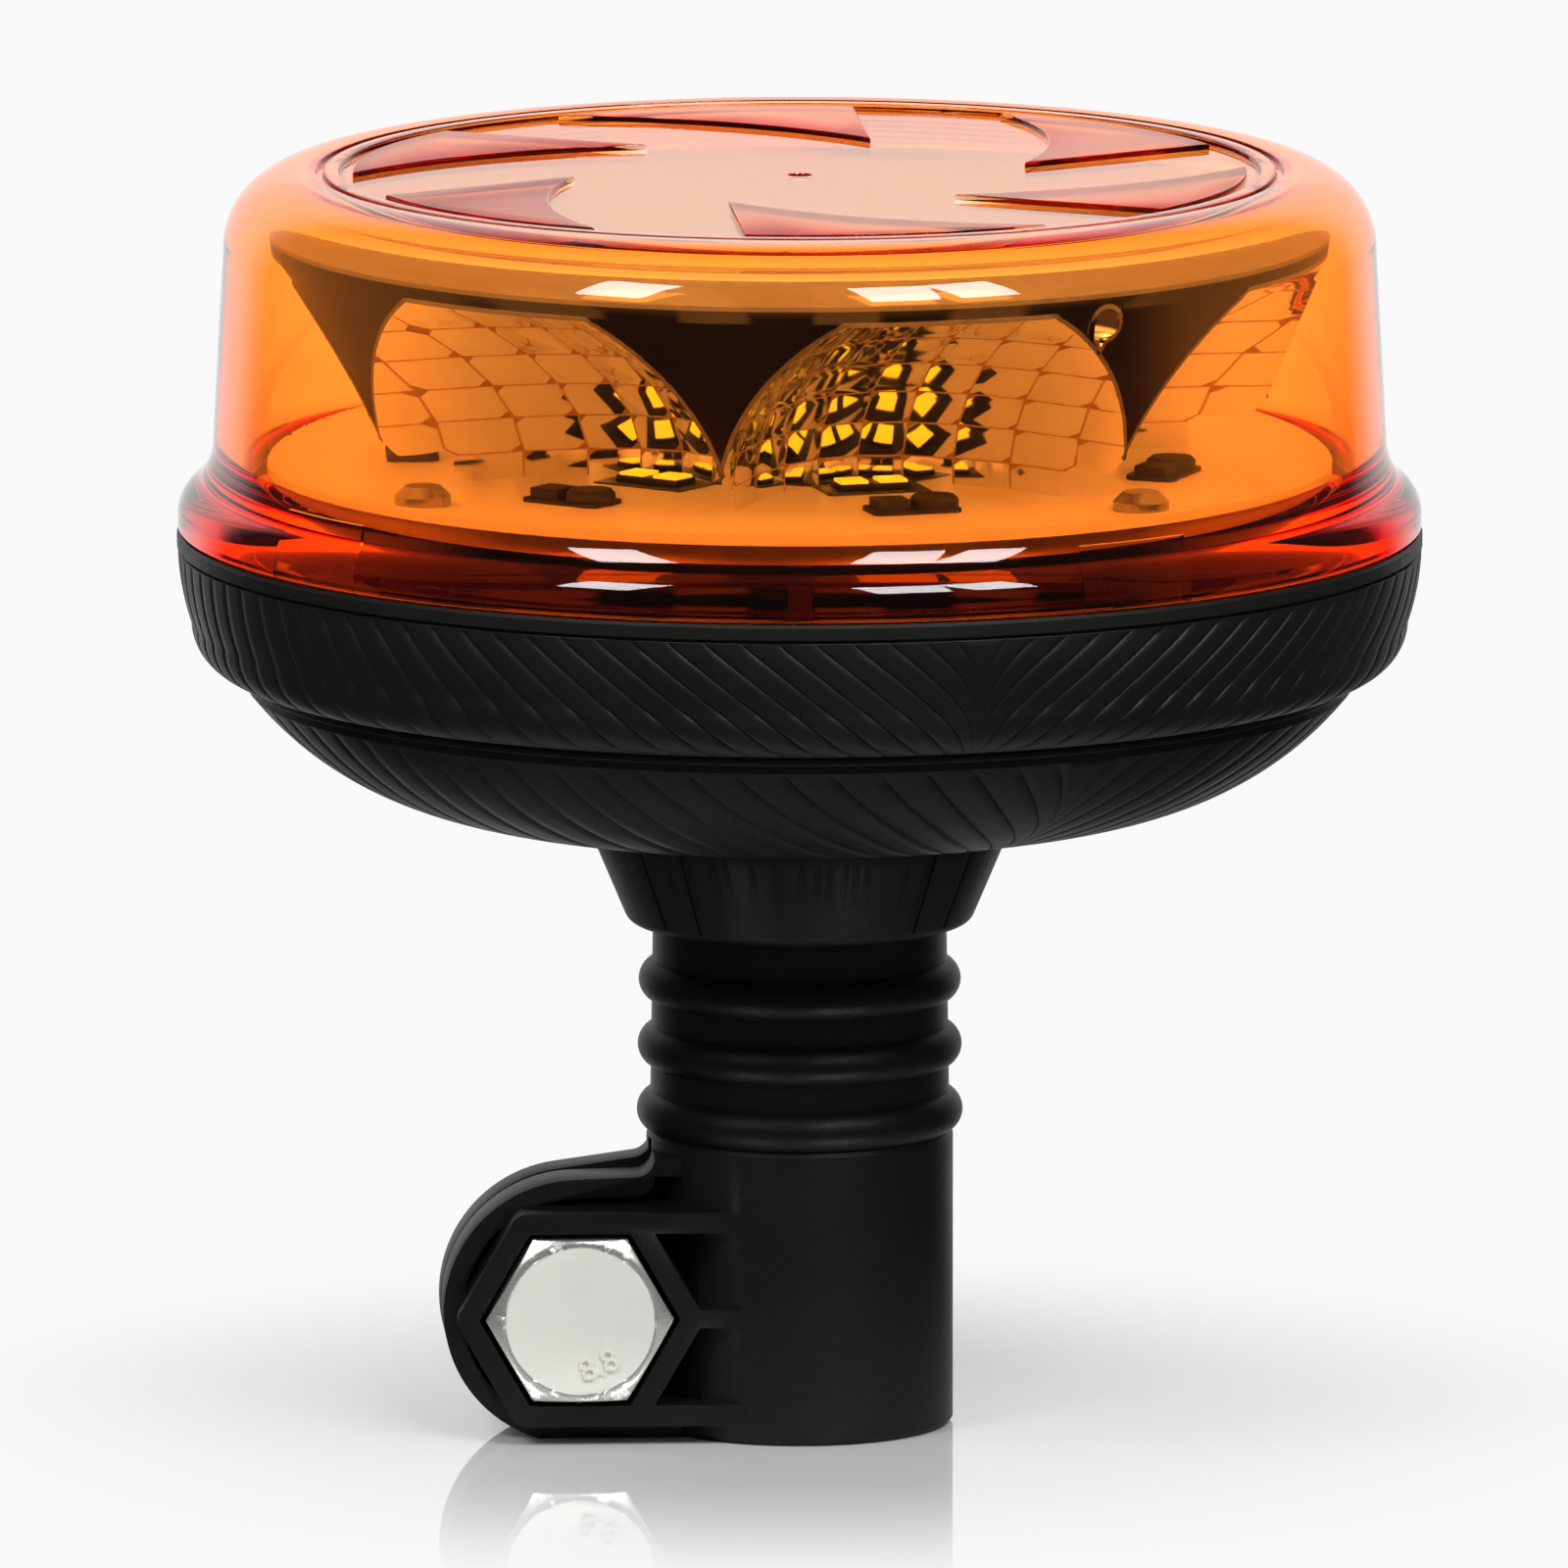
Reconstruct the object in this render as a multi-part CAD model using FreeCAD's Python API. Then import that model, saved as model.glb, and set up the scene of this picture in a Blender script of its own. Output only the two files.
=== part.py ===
import FreeCAD, Part
import math
import os

# LED warning beacon on a flexible neck, clamped on a pole spigot.
# Millimetres, +Z up, origin in the middle of the pole socket's mouth.
# The clamp lug points to -X and the bolt head faces -Y.

Vector = FreeCAD.Vector
Rotation = FreeCAD.Rotation
Placement = FreeCAD.Placement
upAxis = Vector(0, 0, 1)

# Pole socket
poleDiameter = 24.0
poleClearance = 0.1
poleDepth = 27.5
socketWall = 3.95
socketCrown = 3.1
socketEdge = 0.6
carrierStep = 0.5
spigotWall = 1.4

# Clamp lug, measured from the socket's axis
boltInset = 0.85
lugMargin = 2.7
lugFoot = 0.6
lugBackRise = 8.0
lugFrontRise = 2.0
lugRim = 2.0
lugFillet = 2.0
lugFilletInset = 0.4
lugWeb = 2.2
slitOffset = 2.6
slitWidth = 1.6
slitTipWidth = 0.2
lugFrontDepth = 6.2
lugBackDepth = 4.8
frameProud = 5.0
framePocket = 5.6
frameWall = 2.2
frameRound = 2.0
frameClearance = 0.6
middleRib = 1.9
backBossMargin = 0.8
backBossDepth = 6.5

# Clamp bolt, washer and nut, metric size 10
boltDiameter = 10.0
boltLength = 35.0
boltFlats = 17.0
boltHeadHeight = 6.4
boltHoleClearance = 0.25
threadClearance = 0.05
headCrown = 0.95
headConeAngle = 30.0
washerMargin = 1.5
washerThickness = 2.0
nutHeight = 8.0
boltTipChamfer = 1.0

# Contacts at the top of the pole socket
carrierHeight = 7.5
carrierSkirt = 0.7
carrierFloor = 1.0
contactPlane = 2.5
earthRingWidth = 3.4
earthRingThickness = 0.5
pinRadius = 2.5
pinStandOut = 1.8
pinFlange = 0.8
pinFlangeThickness = 0.8
springWire = 0.5
springTurns = 2.5
capThickness = 0.8
leadRadius = 1.3
leadEdge = 0.2

# Flexible neck
neckLength = 22.5
neckStep = 0.35
neckTaper = 0.34
neckWall = 6.2
neckRibCount = 3
neckRibFirst = 2.6
neckRibLast = 6.1
neckRibHeight = 1.4
neckRibHalf = 2.1
neckStemStep = 0.76
neckFlangeWidth = 5.4
neckFlangeThickness = 2.5
grommetHeight = 5.0

# Collar
collarHeight = 10.5
collarPlay = 0.94
collarNose = 0.5
collarFlare = 5.5
collarRound = 1.6
collarLipHeight = 4.3
collarPanels = 4
collarPanelAngle = 15.0
collarGrooveAngle = 0.9
collarGrooveDepth = 0.25

# Base bowl
bowlWall = 2.6
bowlSlope = 8.4
bowlRound = 33.9
bowlRoundReach = 21.6
bowlSpigotWall = 2.45
bowlFloor = 3.3
retainerThickness = 2.0
retainerHole = 7.0

# Base rim, whose top edge is the widest part of the head
headRadius = 65.0
rimHeight = 14.7
rimDraft = 1.5
rimBulge = 0.3
rimCorner = 5.2
rimLip = 0.6
rimGap = 1.85
rimTopRound = 0.3
rimLipHeight = 1.5
rimRecessHeight = 0.4
rimRecessDepth = 0.5
rimBandInset = 0.1
rimWeb = 3.0
rimWebHeight = 6.0
rimWebWidth = 12.0
rimWall = 3.5
sealWidth = 1.7
sealHeight = 1.5
sealStandOut = 0.3
bowlSealWidth = 1.2
bowlSealHeight = 1.2

# Lens
lensHeight = 37.5
lensFlangeInset = 0.1
lensWallInset = 4.9
lensFlangeHeight = 9.5
lensFlangeEdge = 0.3
lensNoseHeight = 1.24
lensNoseTop = 4.85
lensNoseStep = 2.0
lensNoseRound = 0.65
lensNoseMiddle = 3.61
lensFlareRound = 0.55
lensFlareMiddle = 6.65
lensDraft = 1.1
lensWall = 2.6
lensShoulder = 8.0
lensSkirtWidth = 1.9
lensSkirtDepth = 4.2
lensLugs = 4
lensLugFirst = 32.0
lensLugAngle = 14.0
lensLugHeight = 1.6
lensLugDepth = 1.3
lensTabAngle = 12.5
lensTabHeight = 5.4
lensTabDepth = 0.6
lensRingInset = 1.7
lensRingWidth = 3.2
lensRingGroove = 0.8
lensRelief = 0.6
lensBlades = 6
bladeAngle = 40.0
bladeLean = 11.0
bladeTipRadius = 24.0
bladeMargin = 0.6
bladeHollow = 2.0
bladeHollowTurn = 0.4
bladeFirst = 20.0
lensDimple = 1.4

# Light unit
boardClearance = 2.4
boardThickness = 1.6
plateThickness = 3.0
postRadius = 3.4
postHeight = 9.0
postInset = 4.0
leadHoleMargin = 0.7
cupCount = 7
cupFirst = 13.4
cupDepth = 26.5
cupLean = 7.6
cupOverlap = 1.0
cupTopHalf = 11.1
cupColumns = 12
cupGridMargin = 1.14
cupRows = 6
cupFootMargin = 1.0
pocketRadius = 1.7
pocketDepth = 2.5
pocketDrop = 1.2
pocketAside = 7.5
ledHeight = 0.8
ledWidth = 3.4
ledPitch = 4.2
ledDome = 1.4
chokeRadius = 2.5
chokeHeight = 1.2
chokeChamfer = 0.4
chokeInset = 6.8
driverLength = 9.4
driverWidth = 5.4
driverHeight = 0.4
driverRound = 1.0
chipSize = 3.4
chipHeight = 1.0
reflectorInset = 0.7
reflectorGap = 3.8
reflectorRoof = 2.0
reflectorWall = 2.0
reflectorScrewInset = 5.0

# Screws and fits
screwDiameter = 3.0
screwHeadRadius = 2.8
screwHeadHeight = 2.0
screwHoleClearance = 0.2
screwCore = 1.5
screwBoss = 3.2
fitClearance = 0.1
smallClearance = 0.05

# Radii and heights that follow from the sizes above
boreRadius = poleDiameter / 2 + poleClearance
socketRadius = boreRadius + socketWall
socketHeight = poleDepth + socketCrown
carrierBore = boreRadius + carrierStep
carrierTop = poleDepth + carrierHeight
spigotRadius = carrierBore + spigotWall
boltOffset = socketRadius + boltFlats / 2 - boltInset
frameHalf = boltFlats / 2 + frameClearance + frameWall
lugRadius = frameHalf + lugMargin
boltHeight = lugRadius - lugFoot
washerRadius = boltFlats / 2 + washerMargin
backBossRadius = washerRadius + backBossMargin
slitFront = slitOffset + slitWidth / 2
slitBack = slitOffset - slitWidth / 2
lugFrontFace = slitFront + lugFrontDepth
lugBackFace = lugBackDepth - slitBack
frameFace = lugFrontFace + frameProud
boltSeat = frameFace - framePocket
backBossFace = lugBackFace + backBossDepth
neckRadius = socketRadius - neckStep
neckTopRadius = neckRadius - neckTaper
neckBore = neckRadius - neckWall
neckStem = neckTopRadius - neckStemStep
neckRibPitch = (neckLength - neckRibFirst - neckRibLast) / (neckRibCount - 1)
leadSpacing = neckBore - leadRadius - leadEdge
leadHole = leadSpacing + leadRadius + leadHoleMargin
collarLip = neckTopRadius + collarPlay
collarBottomRadius = collarLip + collarNose
collarTopRadius = collarBottomRadius + collarFlare
collarBottom = socketHeight + neckLength
bowlBase = collarBottom + collarHeight
spigotBottom = collarBottom + collarLipHeight
bowlTurn = math.radians(bowlSlope)
rimSideRadius = headRadius - rimDraft
rimBottomRadius = rimSideRadius - rimCorner
rimBore = rimBottomRadius - rimLip
bowlWallRadius = rimBore - fitClearance
bowlInnerRadius = bowlWallRadius - bowlWall
bowlConeRadius = bowlWallRadius - bowlRoundReach
bowlConeTop = bowlBase + (bowlConeRadius - collarTopRadius) * math.tan(bowlTurn)
bowlCentreRadius = bowlConeRadius - bowlRound * math.sin(bowlTurn)
bowlCentre = bowlConeTop + bowlRound * math.cos(bowlTurn)
bowlEdge = bowlCentre - math.sqrt(bowlRound ** 2 - (bowlWallRadius - bowlCentreRadius) ** 2)
rimBottom = bowlEdge + rimGap
rimTop = rimBottom + rimHeight
bowlTop = rimBottom + rimWebHeight
webTop = bowlTop + rimWeb
rimInner = headRadius - rimWall
webInner = rimBore - rimWebWidth
bowlHole = neckStem + 2 * fitClearance
bowlSpigotRadius = bowlHole + bowlSpigotWall
bowlFloorTop = bowlBase - (collarTopRadius - bowlSpigotRadius) * math.tan(bowlTurn) + bowlFloor
neckFlangeRadius = neckStem + neckFlangeWidth
retainerBottom = bowlFloorTop + neckFlangeThickness
retainerScrewRadius = neckFlangeRadius + screwBoss + fitClearance
retainerRadius = retainerScrewRadius + screwBoss
retainerTop = retainerBottom + retainerThickness
rimScrewRadius = bowlInnerRadius - screwBoss / 2
lensBottom = rimTop + sealStandOut
lensTop = lensBottom + lensHeight
lensFlangeRadius = headRadius - lensFlangeInset
lensWallRadius = headRadius - lensWallInset
lensShoulderBase = lensTop - lensShoulder
lensSkirtRadius = rimInner - lensLugDepth - 3 * fitClearance
lensLugTop = lensBottom - lensSkirtDepth + lensLugHeight
lensPlateau = lensTop - lensRelief
lensRingRadius = lensWallRadius - lensShoulder - lensRingInset
plateauRadius = lensRingRadius - lensRingWidth
plateBottom = webTop + postHeight
plateTop = plateBottom + plateThickness
boardTop = plateTop + boardThickness
boardRadius = lensSkirtRadius - lensSkirtWidth - boardClearance
postCircle = boardRadius - postInset
reflectorTop = lensTop - lensWall - reflectorGap
roofBottom = reflectorTop - reflectorRoof
reflectorTopRadius = boardRadius - reflectorInset
reflectorFootRadius = reflectorTopRadius - cupLean
cupVertex = reflectorFootRadius - cupDepth
cupAxis = boardTop + ledHeight
cupHalfTurn = math.pi / cupCount
cupHalfWidth = reflectorFootRadius * math.sin(cupHalfTurn) + cupOverlap / 2
cupLatus = cupHalfWidth ** 2 / (reflectorFootRadius * math.cos(cupHalfTurn) - cupVertex)
cupGridHalf = cupGridMargin * reflectorTopRadius * math.sin(cupHalfTurn)
# The upright section is narrower than the plan, so that the arch has a flat top.
cupTopReach = math.sqrt(reflectorTopRadius ** 2 - cupTopHalf ** 2) - cupVertex - cupTopHalf ** 2 / cupLatus
cupRise = (roofBottom - cupAxis) ** 2 / cupTopReach
ledCircle = cupVertex + cupLatus / 4
chokeCircle = reflectorFootRadius - chokeInset
reflectorScrewCircle = cupVertex - reflectorScrewInset
reflectorCore = cupVertex - reflectorWall
pinBottom = poleDepth + contactPlane - pinStandOut
springFloor = poleDepth + contactPlane + carrierFloor + pinFlangeThickness
springRadius = pinRadius + pinFlange
chamberRadius = springRadius + 3 * fitClearance

boltPlace = Placement(Vector(-boltOffset, 0, boltHeight), Rotation(upAxis, Vector(0, 1, 0)))
# The front of the head is the -Y side, so angles on it are counted from there.
frontAngle = -90.0
cupAngles = [frontAngle + cupFirst + 360.0 / cupCount * index for index in range(cupCount)]
joinAngles = [angle + 180.0 / cupCount for angle in cupAngles]
quarterAngles = [0.0, 90.0, 180.0, 270.0]
# The leads stand one behind the other, the first on the contact cap.
leadPlaces = [Vector(0, 0, 0), Vector(0, leadSpacing, 0)]


def onSection(point):
    return Vector(point[0], 0, point[1])


def sectionFace(start, steps):
    # A step is an end point, or the middle and the end of an arc.
    edges = []
    here = start
    for step in steps + [start]:
        if isinstance(step[0], tuple):
            middle, end = step
            edge = Part.Arc(onSection(here), onSection(middle), onSection(end)).toShape()
        else:
            end = step
            edge = Part.LineSegment(onSection(here), onSection(end)).toShape()
        edges.append(edge)
        here = end
    return Part.Face(Part.Wire(edges))


def revolved(start, steps, angle=360.0):
    return sectionFace(start, steps).revolve(Vector(0, 0, 0), upAxis, angle)


def cylinder(radius, bottom, top, place=Vector(0, 0, 0)):
    return Part.makeCylinder(radius, top - bottom, place + Vector(0, 0, bottom))


def ring(inner, outer, bottom, top):
    return cylinder(outer, bottom, top).cut(cylinder(inner, bottom, top))


def polar(radius, angle, height=0.0):
    turn = math.radians(angle)
    return Vector(radius * math.cos(turn), radius * math.sin(turn), height)


def turned(shape, angle):
    copy = shape.copy()
    copy.rotate(Vector(0, 0, 0), upAxis, angle)
    return copy


def arcMiddle(centre, radius, angle):
    turn = math.radians(angle)
    return (centre[0] + radius * math.cos(turn), centre[1] + radius * math.sin(turn))


def hexagonFace(flats):
    corner = flats / math.sqrt(3)
    points = [polar(corner, 60.0 * index) for index in range(7)]
    return Part.Face(Part.makePolygon(points))


def chamferedHexagon(flats, height, bothEnds):
    # Corners are taken off by a flat cone, as on a turned head.
    corner = flats / math.sqrt(3)
    crown = flats / 2 * headCrown
    drop = (corner - crown) * math.tan(math.radians(headConeAngle))
    low = drop if bothEnds else 0.0
    steps = [(crown, 0.0), (corner, low), (corner, height - drop)]
    steps += [(crown, height), (0.0, height)]
    if not bothEnds:
        steps[0] = (corner, 0.0)
        steps.pop(1)
    turnedBody = revolved((0.0, 0.0), steps)
    return hexagonFace(flats).extrude(Vector(0, 0, height)).common(turnedBody)


def screw(length):
    # Pan head screw, head up, underside of the head at height 0.
    edge = screwHeadHeight / 2
    radius = screwDiameter / 2
    steps = [(radius, -length), (radius, 0.0), (screwHeadRadius, 0.0), (screwHeadRadius, edge)]
    steps += [(screwHeadRadius - edge, screwHeadHeight), (0.0, screwHeadHeight)]
    return revolved((0.0, -length), steps)


def screwSet(name, length, circle, angles, height, headDown=False):
    nodes = {}
    for index, angle in enumerate(angles):
        body = screw(length)
        if headDown:
            body.rotate(Vector(0, 0, 0), Vector(1, 0, 0), 180)
        body.translate(polar(circle, angle, height))
        nodes["%s_%d" % (name, index + 1)] = body
    return nodes


def holes(radius, circle, angles, bottom, top):
    return [cylinder(radius, bottom, top, polar(circle, angle)) for angle in angles]


# Clamp socket

def lugFace(inset, riseAngle):
    # Side outline of a lug leaf in the XZ plane: a flat foot, a round end
    # about the bolt and a top edge that rises towards the tube.
    radius = lugRadius - inset
    rise = math.radians(riseAngle)
    foot = boltHeight - inset
    heel = -boltOffset - math.sqrt(radius ** 2 - foot ** 2)
    tangent = (-boltOffset - radius * math.sin(rise), boltHeight + radius * math.cos(rise))
    root = -boreRadius
    # A fillet leads the top edge up into the tube.
    wall = -socketRadius + lugFilletInset
    corner = (wall, tangent[1] + (wall - tangent[0]) * math.tan(rise))
    reach = lugFillet / math.tan((math.pi / 2 + rise) / 2)
    filletStart = (corner[0] - reach * math.cos(rise), corner[1] - reach * math.sin(rise))
    centre = (filletStart[0] - lugFillet * math.sin(rise), filletStart[1] + lugFillet * math.cos(rise))
    filletMiddle = arcMiddle(centre, lugFillet, (riseAngle - 90.0) / 2)
    filletEnd = (wall, corner[1] + reach)
    roundEnd = ((-boltOffset - radius, boltHeight), tangent)
    steps = [(heel, inset), roundEnd, filletStart, (filletMiddle, filletEnd), (root, filletEnd[1])]
    return sectionFace((root, inset), steps)


def alongDepth(face, near, far):
    # Depth is counted from the axis towards the front.
    body = face.copy()
    body.translate(Vector(0, -near, 0))
    return body.extrude(Vector(0, near - far, 0))


def onBolt(shape, depth):
    # The shape's own +Z runs along the bolt, away from the head.
    shape.Placement = boltPlace
    shape.translate(Vector(0, -depth, 0))
    return shape


def ribBox(low, high, start, near, far):
    return Part.makeBox(-start, far - near, high - low, Vector(start, -far, low))


def boltFrame():
    frame = hexagonFace(2 * frameHalf).extrude(Vector(0, 0, frameFace - slitFront))
    upright = [edge for edge in frame.Edges if abs(edge.tangentAt(edge.FirstParameter).z) > 0.99]
    return onBolt(frame.makeFillet(frameRound, upright), frameFace)


def lugRibs(near, far):
    ribs = []
    for low in (boltHeight - frameHalf, boltHeight + frameHalf - frameWall):
        ribs.append(ribBox(low, low + frameWall, -boltOffset, near, far))
    low = boltHeight - middleRib / 2
    ribs.append(ribBox(low, low + middleRib, -boltOffset + frameHalf, near, far))
    return ribs


def slitCut():
    # The leaves are pinched, so the slit narrows from the tube to the lug's tip.
    tip = -boltOffset - lugRadius
    nearTip = slitOffset - slitTipWidth / 2
    corners = [Vector(0, -slitBack, 0), Vector(-socketRadius, -slitBack, 0), Vector(tip, -nearTip, 0)]
    corners += [Vector(tip, -nearTip - slitTipWidth, 0), Vector(-socketRadius, -slitFront, 0)]
    corners += [Vector(0, -slitFront, 0), Vector(0, -slitBack, 0)]
    return Part.Face(Part.makePolygon(corners)).extrude(Vector(0, 0, socketHeight))


def clampSocket():
    edge = socketEdge
    steps = [(socketRadius - edge, 0.0), (socketRadius, edge), (socketRadius, socketHeight)]
    steps += [(spigotRadius, socketHeight), (spigotRadius, carrierTop), (0.0, carrierTop)]
    tube = revolved((0.0, 0.0), steps)
    front = alongDepth(lugFace(0.0, lugFrontRise), slitOffset, lugFrontFace)
    front = front.cut(alongDepth(lugFace(lugRim, lugFrontRise), slitFront + lugWeb, lugFrontFace))
    back = alongDepth(lugFace(0.0, lugBackRise), -lugBackFace, slitOffset)
    boss = onBolt(cylinder(backBossRadius, 0.0, backBossDepth), -lugBackFace)
    ribs = lugRibs(slitFront, frameFace) + lugRibs(-backBossFace, -lugBackFace)
    body = tube.multiFuse([front, back, boss, boltFrame()] + ribs)
    mouth = revolved((0.0, 0.0), [(boreRadius + edge, 0.0), (boreRadius, edge), (0.0, edge)])
    bore = cylinder(boreRadius, 0.0, poleDepth)
    seat = cylinder(carrierBore, poleDepth, carrierTop)
    neckSeat = ring(spigotRadius, boltOffset + lugRadius, socketHeight, carrierTop)
    hole = onBolt(cylinder(boltDiameter / 2 + boltHoleClearance, 0.0, frameFace + backBossFace), frameFace)
    pocket = hexagonFace(boltFlats + 2 * frameClearance).extrude(Vector(0, 0, framePocket))
    pocket = onBolt(pocket, frameFace)
    return body.cut([mouth, bore, seat, neckSeat, slitCut(), hole, pocket]).removeSplitter()


def clampBolt():
    head = chamferedHexagon(boltFlats, boltHeadHeight, False)
    head.rotate(Vector(0, 0, 0), Vector(1, 0, 0), 180)
    radius = boltDiameter / 2 - threadClearance
    tip = (radius - boltTipChamfer, boltLength)
    steps = [(radius, 0.0), (radius, boltLength - boltTipChamfer), tip, (0.0, boltLength)]
    shank = revolved((0.0, 0.0), steps)
    return onBolt(head.fuse(shank).removeSplitter(), boltSeat)


def clampWasher():
    hole = boltDiameter / 2 + boltHoleClearance
    return onBolt(ring(hole, washerRadius, 0.0, washerThickness), -backBossFace)


def clampNut():
    nut = chamferedHexagon(boltFlats, nutHeight, True)
    nut = nut.cut(cylinder(boltDiameter / 2, 0.0, nutHeight))
    return onBolt(nut, -backBossFace - washerThickness)


# Contacts

def contactCarrier():
    radius = carrierBore - smallClearance
    body = cylinder(radius, poleDepth, carrierTop)
    skirt = cylinder(radius - carrierSkirt, poleDepth, poleDepth + contactPlane)
    chamber = cylinder(chamberRadius, springFloor - pinFlangeThickness, carrierTop)
    hole = cylinder(pinRadius + smallClearance, poleDepth, carrierTop)
    return body.cut([skirt, chamber, hole])


def earthRing():
    outer = carrierBore - smallClearance - carrierSkirt - fitClearance
    top = poleDepth + contactPlane
    return ring(outer - earthRingWidth, outer, top - earthRingThickness, top)


def contactPin():
    flangeTop = springFloor
    flangeBottom = springFloor - pinFlangeThickness
    edge = pinRadius / 2
    nose = arcMiddle((pinRadius - edge, pinBottom + edge), edge, -45)
    steps = [(pinRadius - edge, pinBottom), (nose, (pinRadius, pinBottom + edge)), (pinRadius, flangeBottom)]
    steps += [(springRadius, flangeBottom), (springRadius, flangeTop), (0.0, flangeTop)]
    return revolved((0.0, pinBottom), steps)


def contactSpring():
    radius = springRadius - springWire / 2
    height = carrierTop - springFloor - springWire
    path = Part.makeHelix(height / springTurns, height, radius)
    path.translate(Vector(0, 0, springFloor + springWire / 2))
    start = path.Edges[0].valueAt(path.Edges[0].FirstParameter)
    heading = path.Edges[0].tangentAt(path.Edges[0].FirstParameter)
    section = Part.Wire(Part.makeCircle(springWire / 2 - smallClearance / 2, start, heading))
    return Part.Wire(path.Edges).makePipeShell([section], True, True)


def contactCap():
    return cylinder(chamberRadius, carrierTop, carrierTop + capThickness)


# Neck and leads

def neckRadiusAt(height):
    share = (height - socketHeight) / neckLength
    return neckRadius + (neckTopRadius - neckRadius) * share


def flexNeck():
    # Straight taper with half-round ribs, a stem through the collar and
    # a flange that lies on the bowl's floor.
    sleeve = spigotRadius + smallClearance
    steps = [(socketRadius, socketHeight)]
    for index in range(neckRibCount):
        middle = socketHeight + neckRibFirst + neckRibPitch * index
        low = middle - neckRibHalf
        high = middle + neckRibHalf
        crest = (neckRadiusAt(middle) + neckRibHeight, middle)
        steps.append((neckRadiusAt(low), low))
        steps.append((crest, (neckRadiusAt(high), high)))
    stemBottom = spigotBottom - 2 * fitClearance
    top = retainerBottom
    steps += [(neckTopRadius, stemBottom), (neckStem, stemBottom)]
    steps += [(neckStem, bowlFloorTop), (neckFlangeRadius, bowlFloorTop)]
    steps += [(neckFlangeRadius, top), (neckBore, top)]
    steps += [(neckBore, carrierTop), (sleeve, carrierTop)]
    return revolved((sleeve, socketHeight), steps)


def leadGrommet():
    body = cylinder(neckBore - smallClearance, retainerBottom - grommetHeight, retainerBottom)
    cuts = [cylinder(leadRadius + smallClearance, retainerBottom - grommetHeight, retainerBottom, place)
            for place in leadPlaces]
    return body.cut(cuts)


def leadNodes():
    nodes = {}
    for index, place in enumerate(leadPlaces):
        foot = carrierTop + capThickness if index == 0 else carrierTop
        nodes["neck_lead_%d" % (index + 1)] = cylinder(leadRadius, foot, retainerBottom, place)
        nodes["head_lead_%d" % (index + 1)] = cylinder(leadRadius, retainerBottom, plateTop, place)
    return nodes


# Collar and base

def bowlConeHeight(radius, inset=0.0):
    return bowlBase + (radius - collarTopRadius) * math.tan(bowlTurn) + inset / math.cos(bowlTurn)


def neckCollar():
    lean = math.atan2(collarTopRadius - collarBottomRadius - collarRound, collarHeight - collarRound)
    centre = (collarBottomRadius, collarBottom + collarRound)
    tangent = arcMiddle(centre, collarRound, -math.degrees(lean))
    middle = arcMiddle(centre, collarRound, -45 - math.degrees(lean) / 2)
    sleeve = bowlSpigotRadius + fitClearance
    top = (collarTopRadius, bowlConeHeight(collarTopRadius))
    steps = [(collarBottomRadius, collarBottom), (middle, tangent), top]
    steps += [(sleeve, bowlConeHeight(sleeve)), (sleeve, spigotBottom), (collarLip, spigotBottom)]
    collar = revolved((collarLip, collarBottom), steps)
    depth = collarGrooveDepth / math.cos(lean)
    skin = [(tangent[0] + depth, tangent[1]), (top[0] + depth, top[1]), (top[0] - depth, top[1])]
    groove = revolved((tangent[0] - depth, tangent[1]), skin, collarGrooveAngle)
    cuts = []
    for index in range(collarPanels):
        middleAngle = frontAngle + 360.0 / collarPanels * (index + 0.5)
        for side in (-0.5, 0.5):
            angle = middleAngle + side * collarPanelAngle - collarGrooveAngle / 2
            cuts.append(turned(groove, angle))
    return collar.cut(cuts)


def bowlSection(wallInset, bottomSteps, top):
    # Shallow cone, a tangent round and an upright wall, moved in by the inset.
    radius = bowlRound - wallInset
    wall = bowlWallRadius - wallInset
    turnStart = (bowlCentreRadius + radius * math.sin(bowlTurn), bowlCentre - radius * math.cos(bowlTurn))
    reach = wall - bowlCentreRadius
    turnEnd = (wall, bowlCentre - math.sqrt(radius ** 2 - reach ** 2))
    middleTurn = -90 + (bowlSlope + math.degrees(math.asin(reach / radius))) / 2
    middle = arcMiddle((bowlCentreRadius, bowlCentre), radius, middleTurn)
    return bottomSteps + [turnStart, (middle, turnEnd), (wall, top), (0.0, top)]


def baseBowl():
    spigot = [(bowlSpigotRadius, spigotBottom), (bowlSpigotRadius, bowlConeHeight(bowlSpigotRadius))]
    outer = revolved((0.0, spigotBottom), bowlSection(0.0, spigot, bowlTop))
    floorRise = bowlFloorTop - bowlConeHeight(collarTopRadius, bowlWall)
    floorRadius = collarTopRadius + floorRise / math.tan(bowlTurn)
    inner = revolved((0.0, bowlFloorTop), bowlSection(bowlWall, [(floorRadius, bowlFloorTop)], bowlTop))
    bosses = holes(screwBoss, retainerScrewRadius, quarterAngles, spigotBottom, retainerBottom)
    bosses += holes(screwBoss, rimScrewRadius, quarterAngles, spigotBottom, bowlTop)
    shell = outer.cut(inner)
    shell = shell.multiFuse([boss.common(outer) for boss in bosses])
    sealMiddle = bowlWallRadius - bowlWall / 2
    grooveHalf = bowlSealWidth / 2 + fitClearance
    groove = ring(sealMiddle - grooveHalf, sealMiddle + grooveHalf, bowlTop - bowlSealHeight, bowlTop)
    cuts = [cylinder(bowlHole, spigotBottom, bowlFloorTop), groove]
    cuts += holes(screwDiameter / 2, retainerScrewRadius, quarterAngles, bowlFloorTop, retainerBottom)
    cuts += holes(screwDiameter / 2, rimScrewRadius, quarterAngles, bowlTop - 2 * screwBoss, bowlTop)
    return shell.cut(cuts).removeSplitter()


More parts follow.
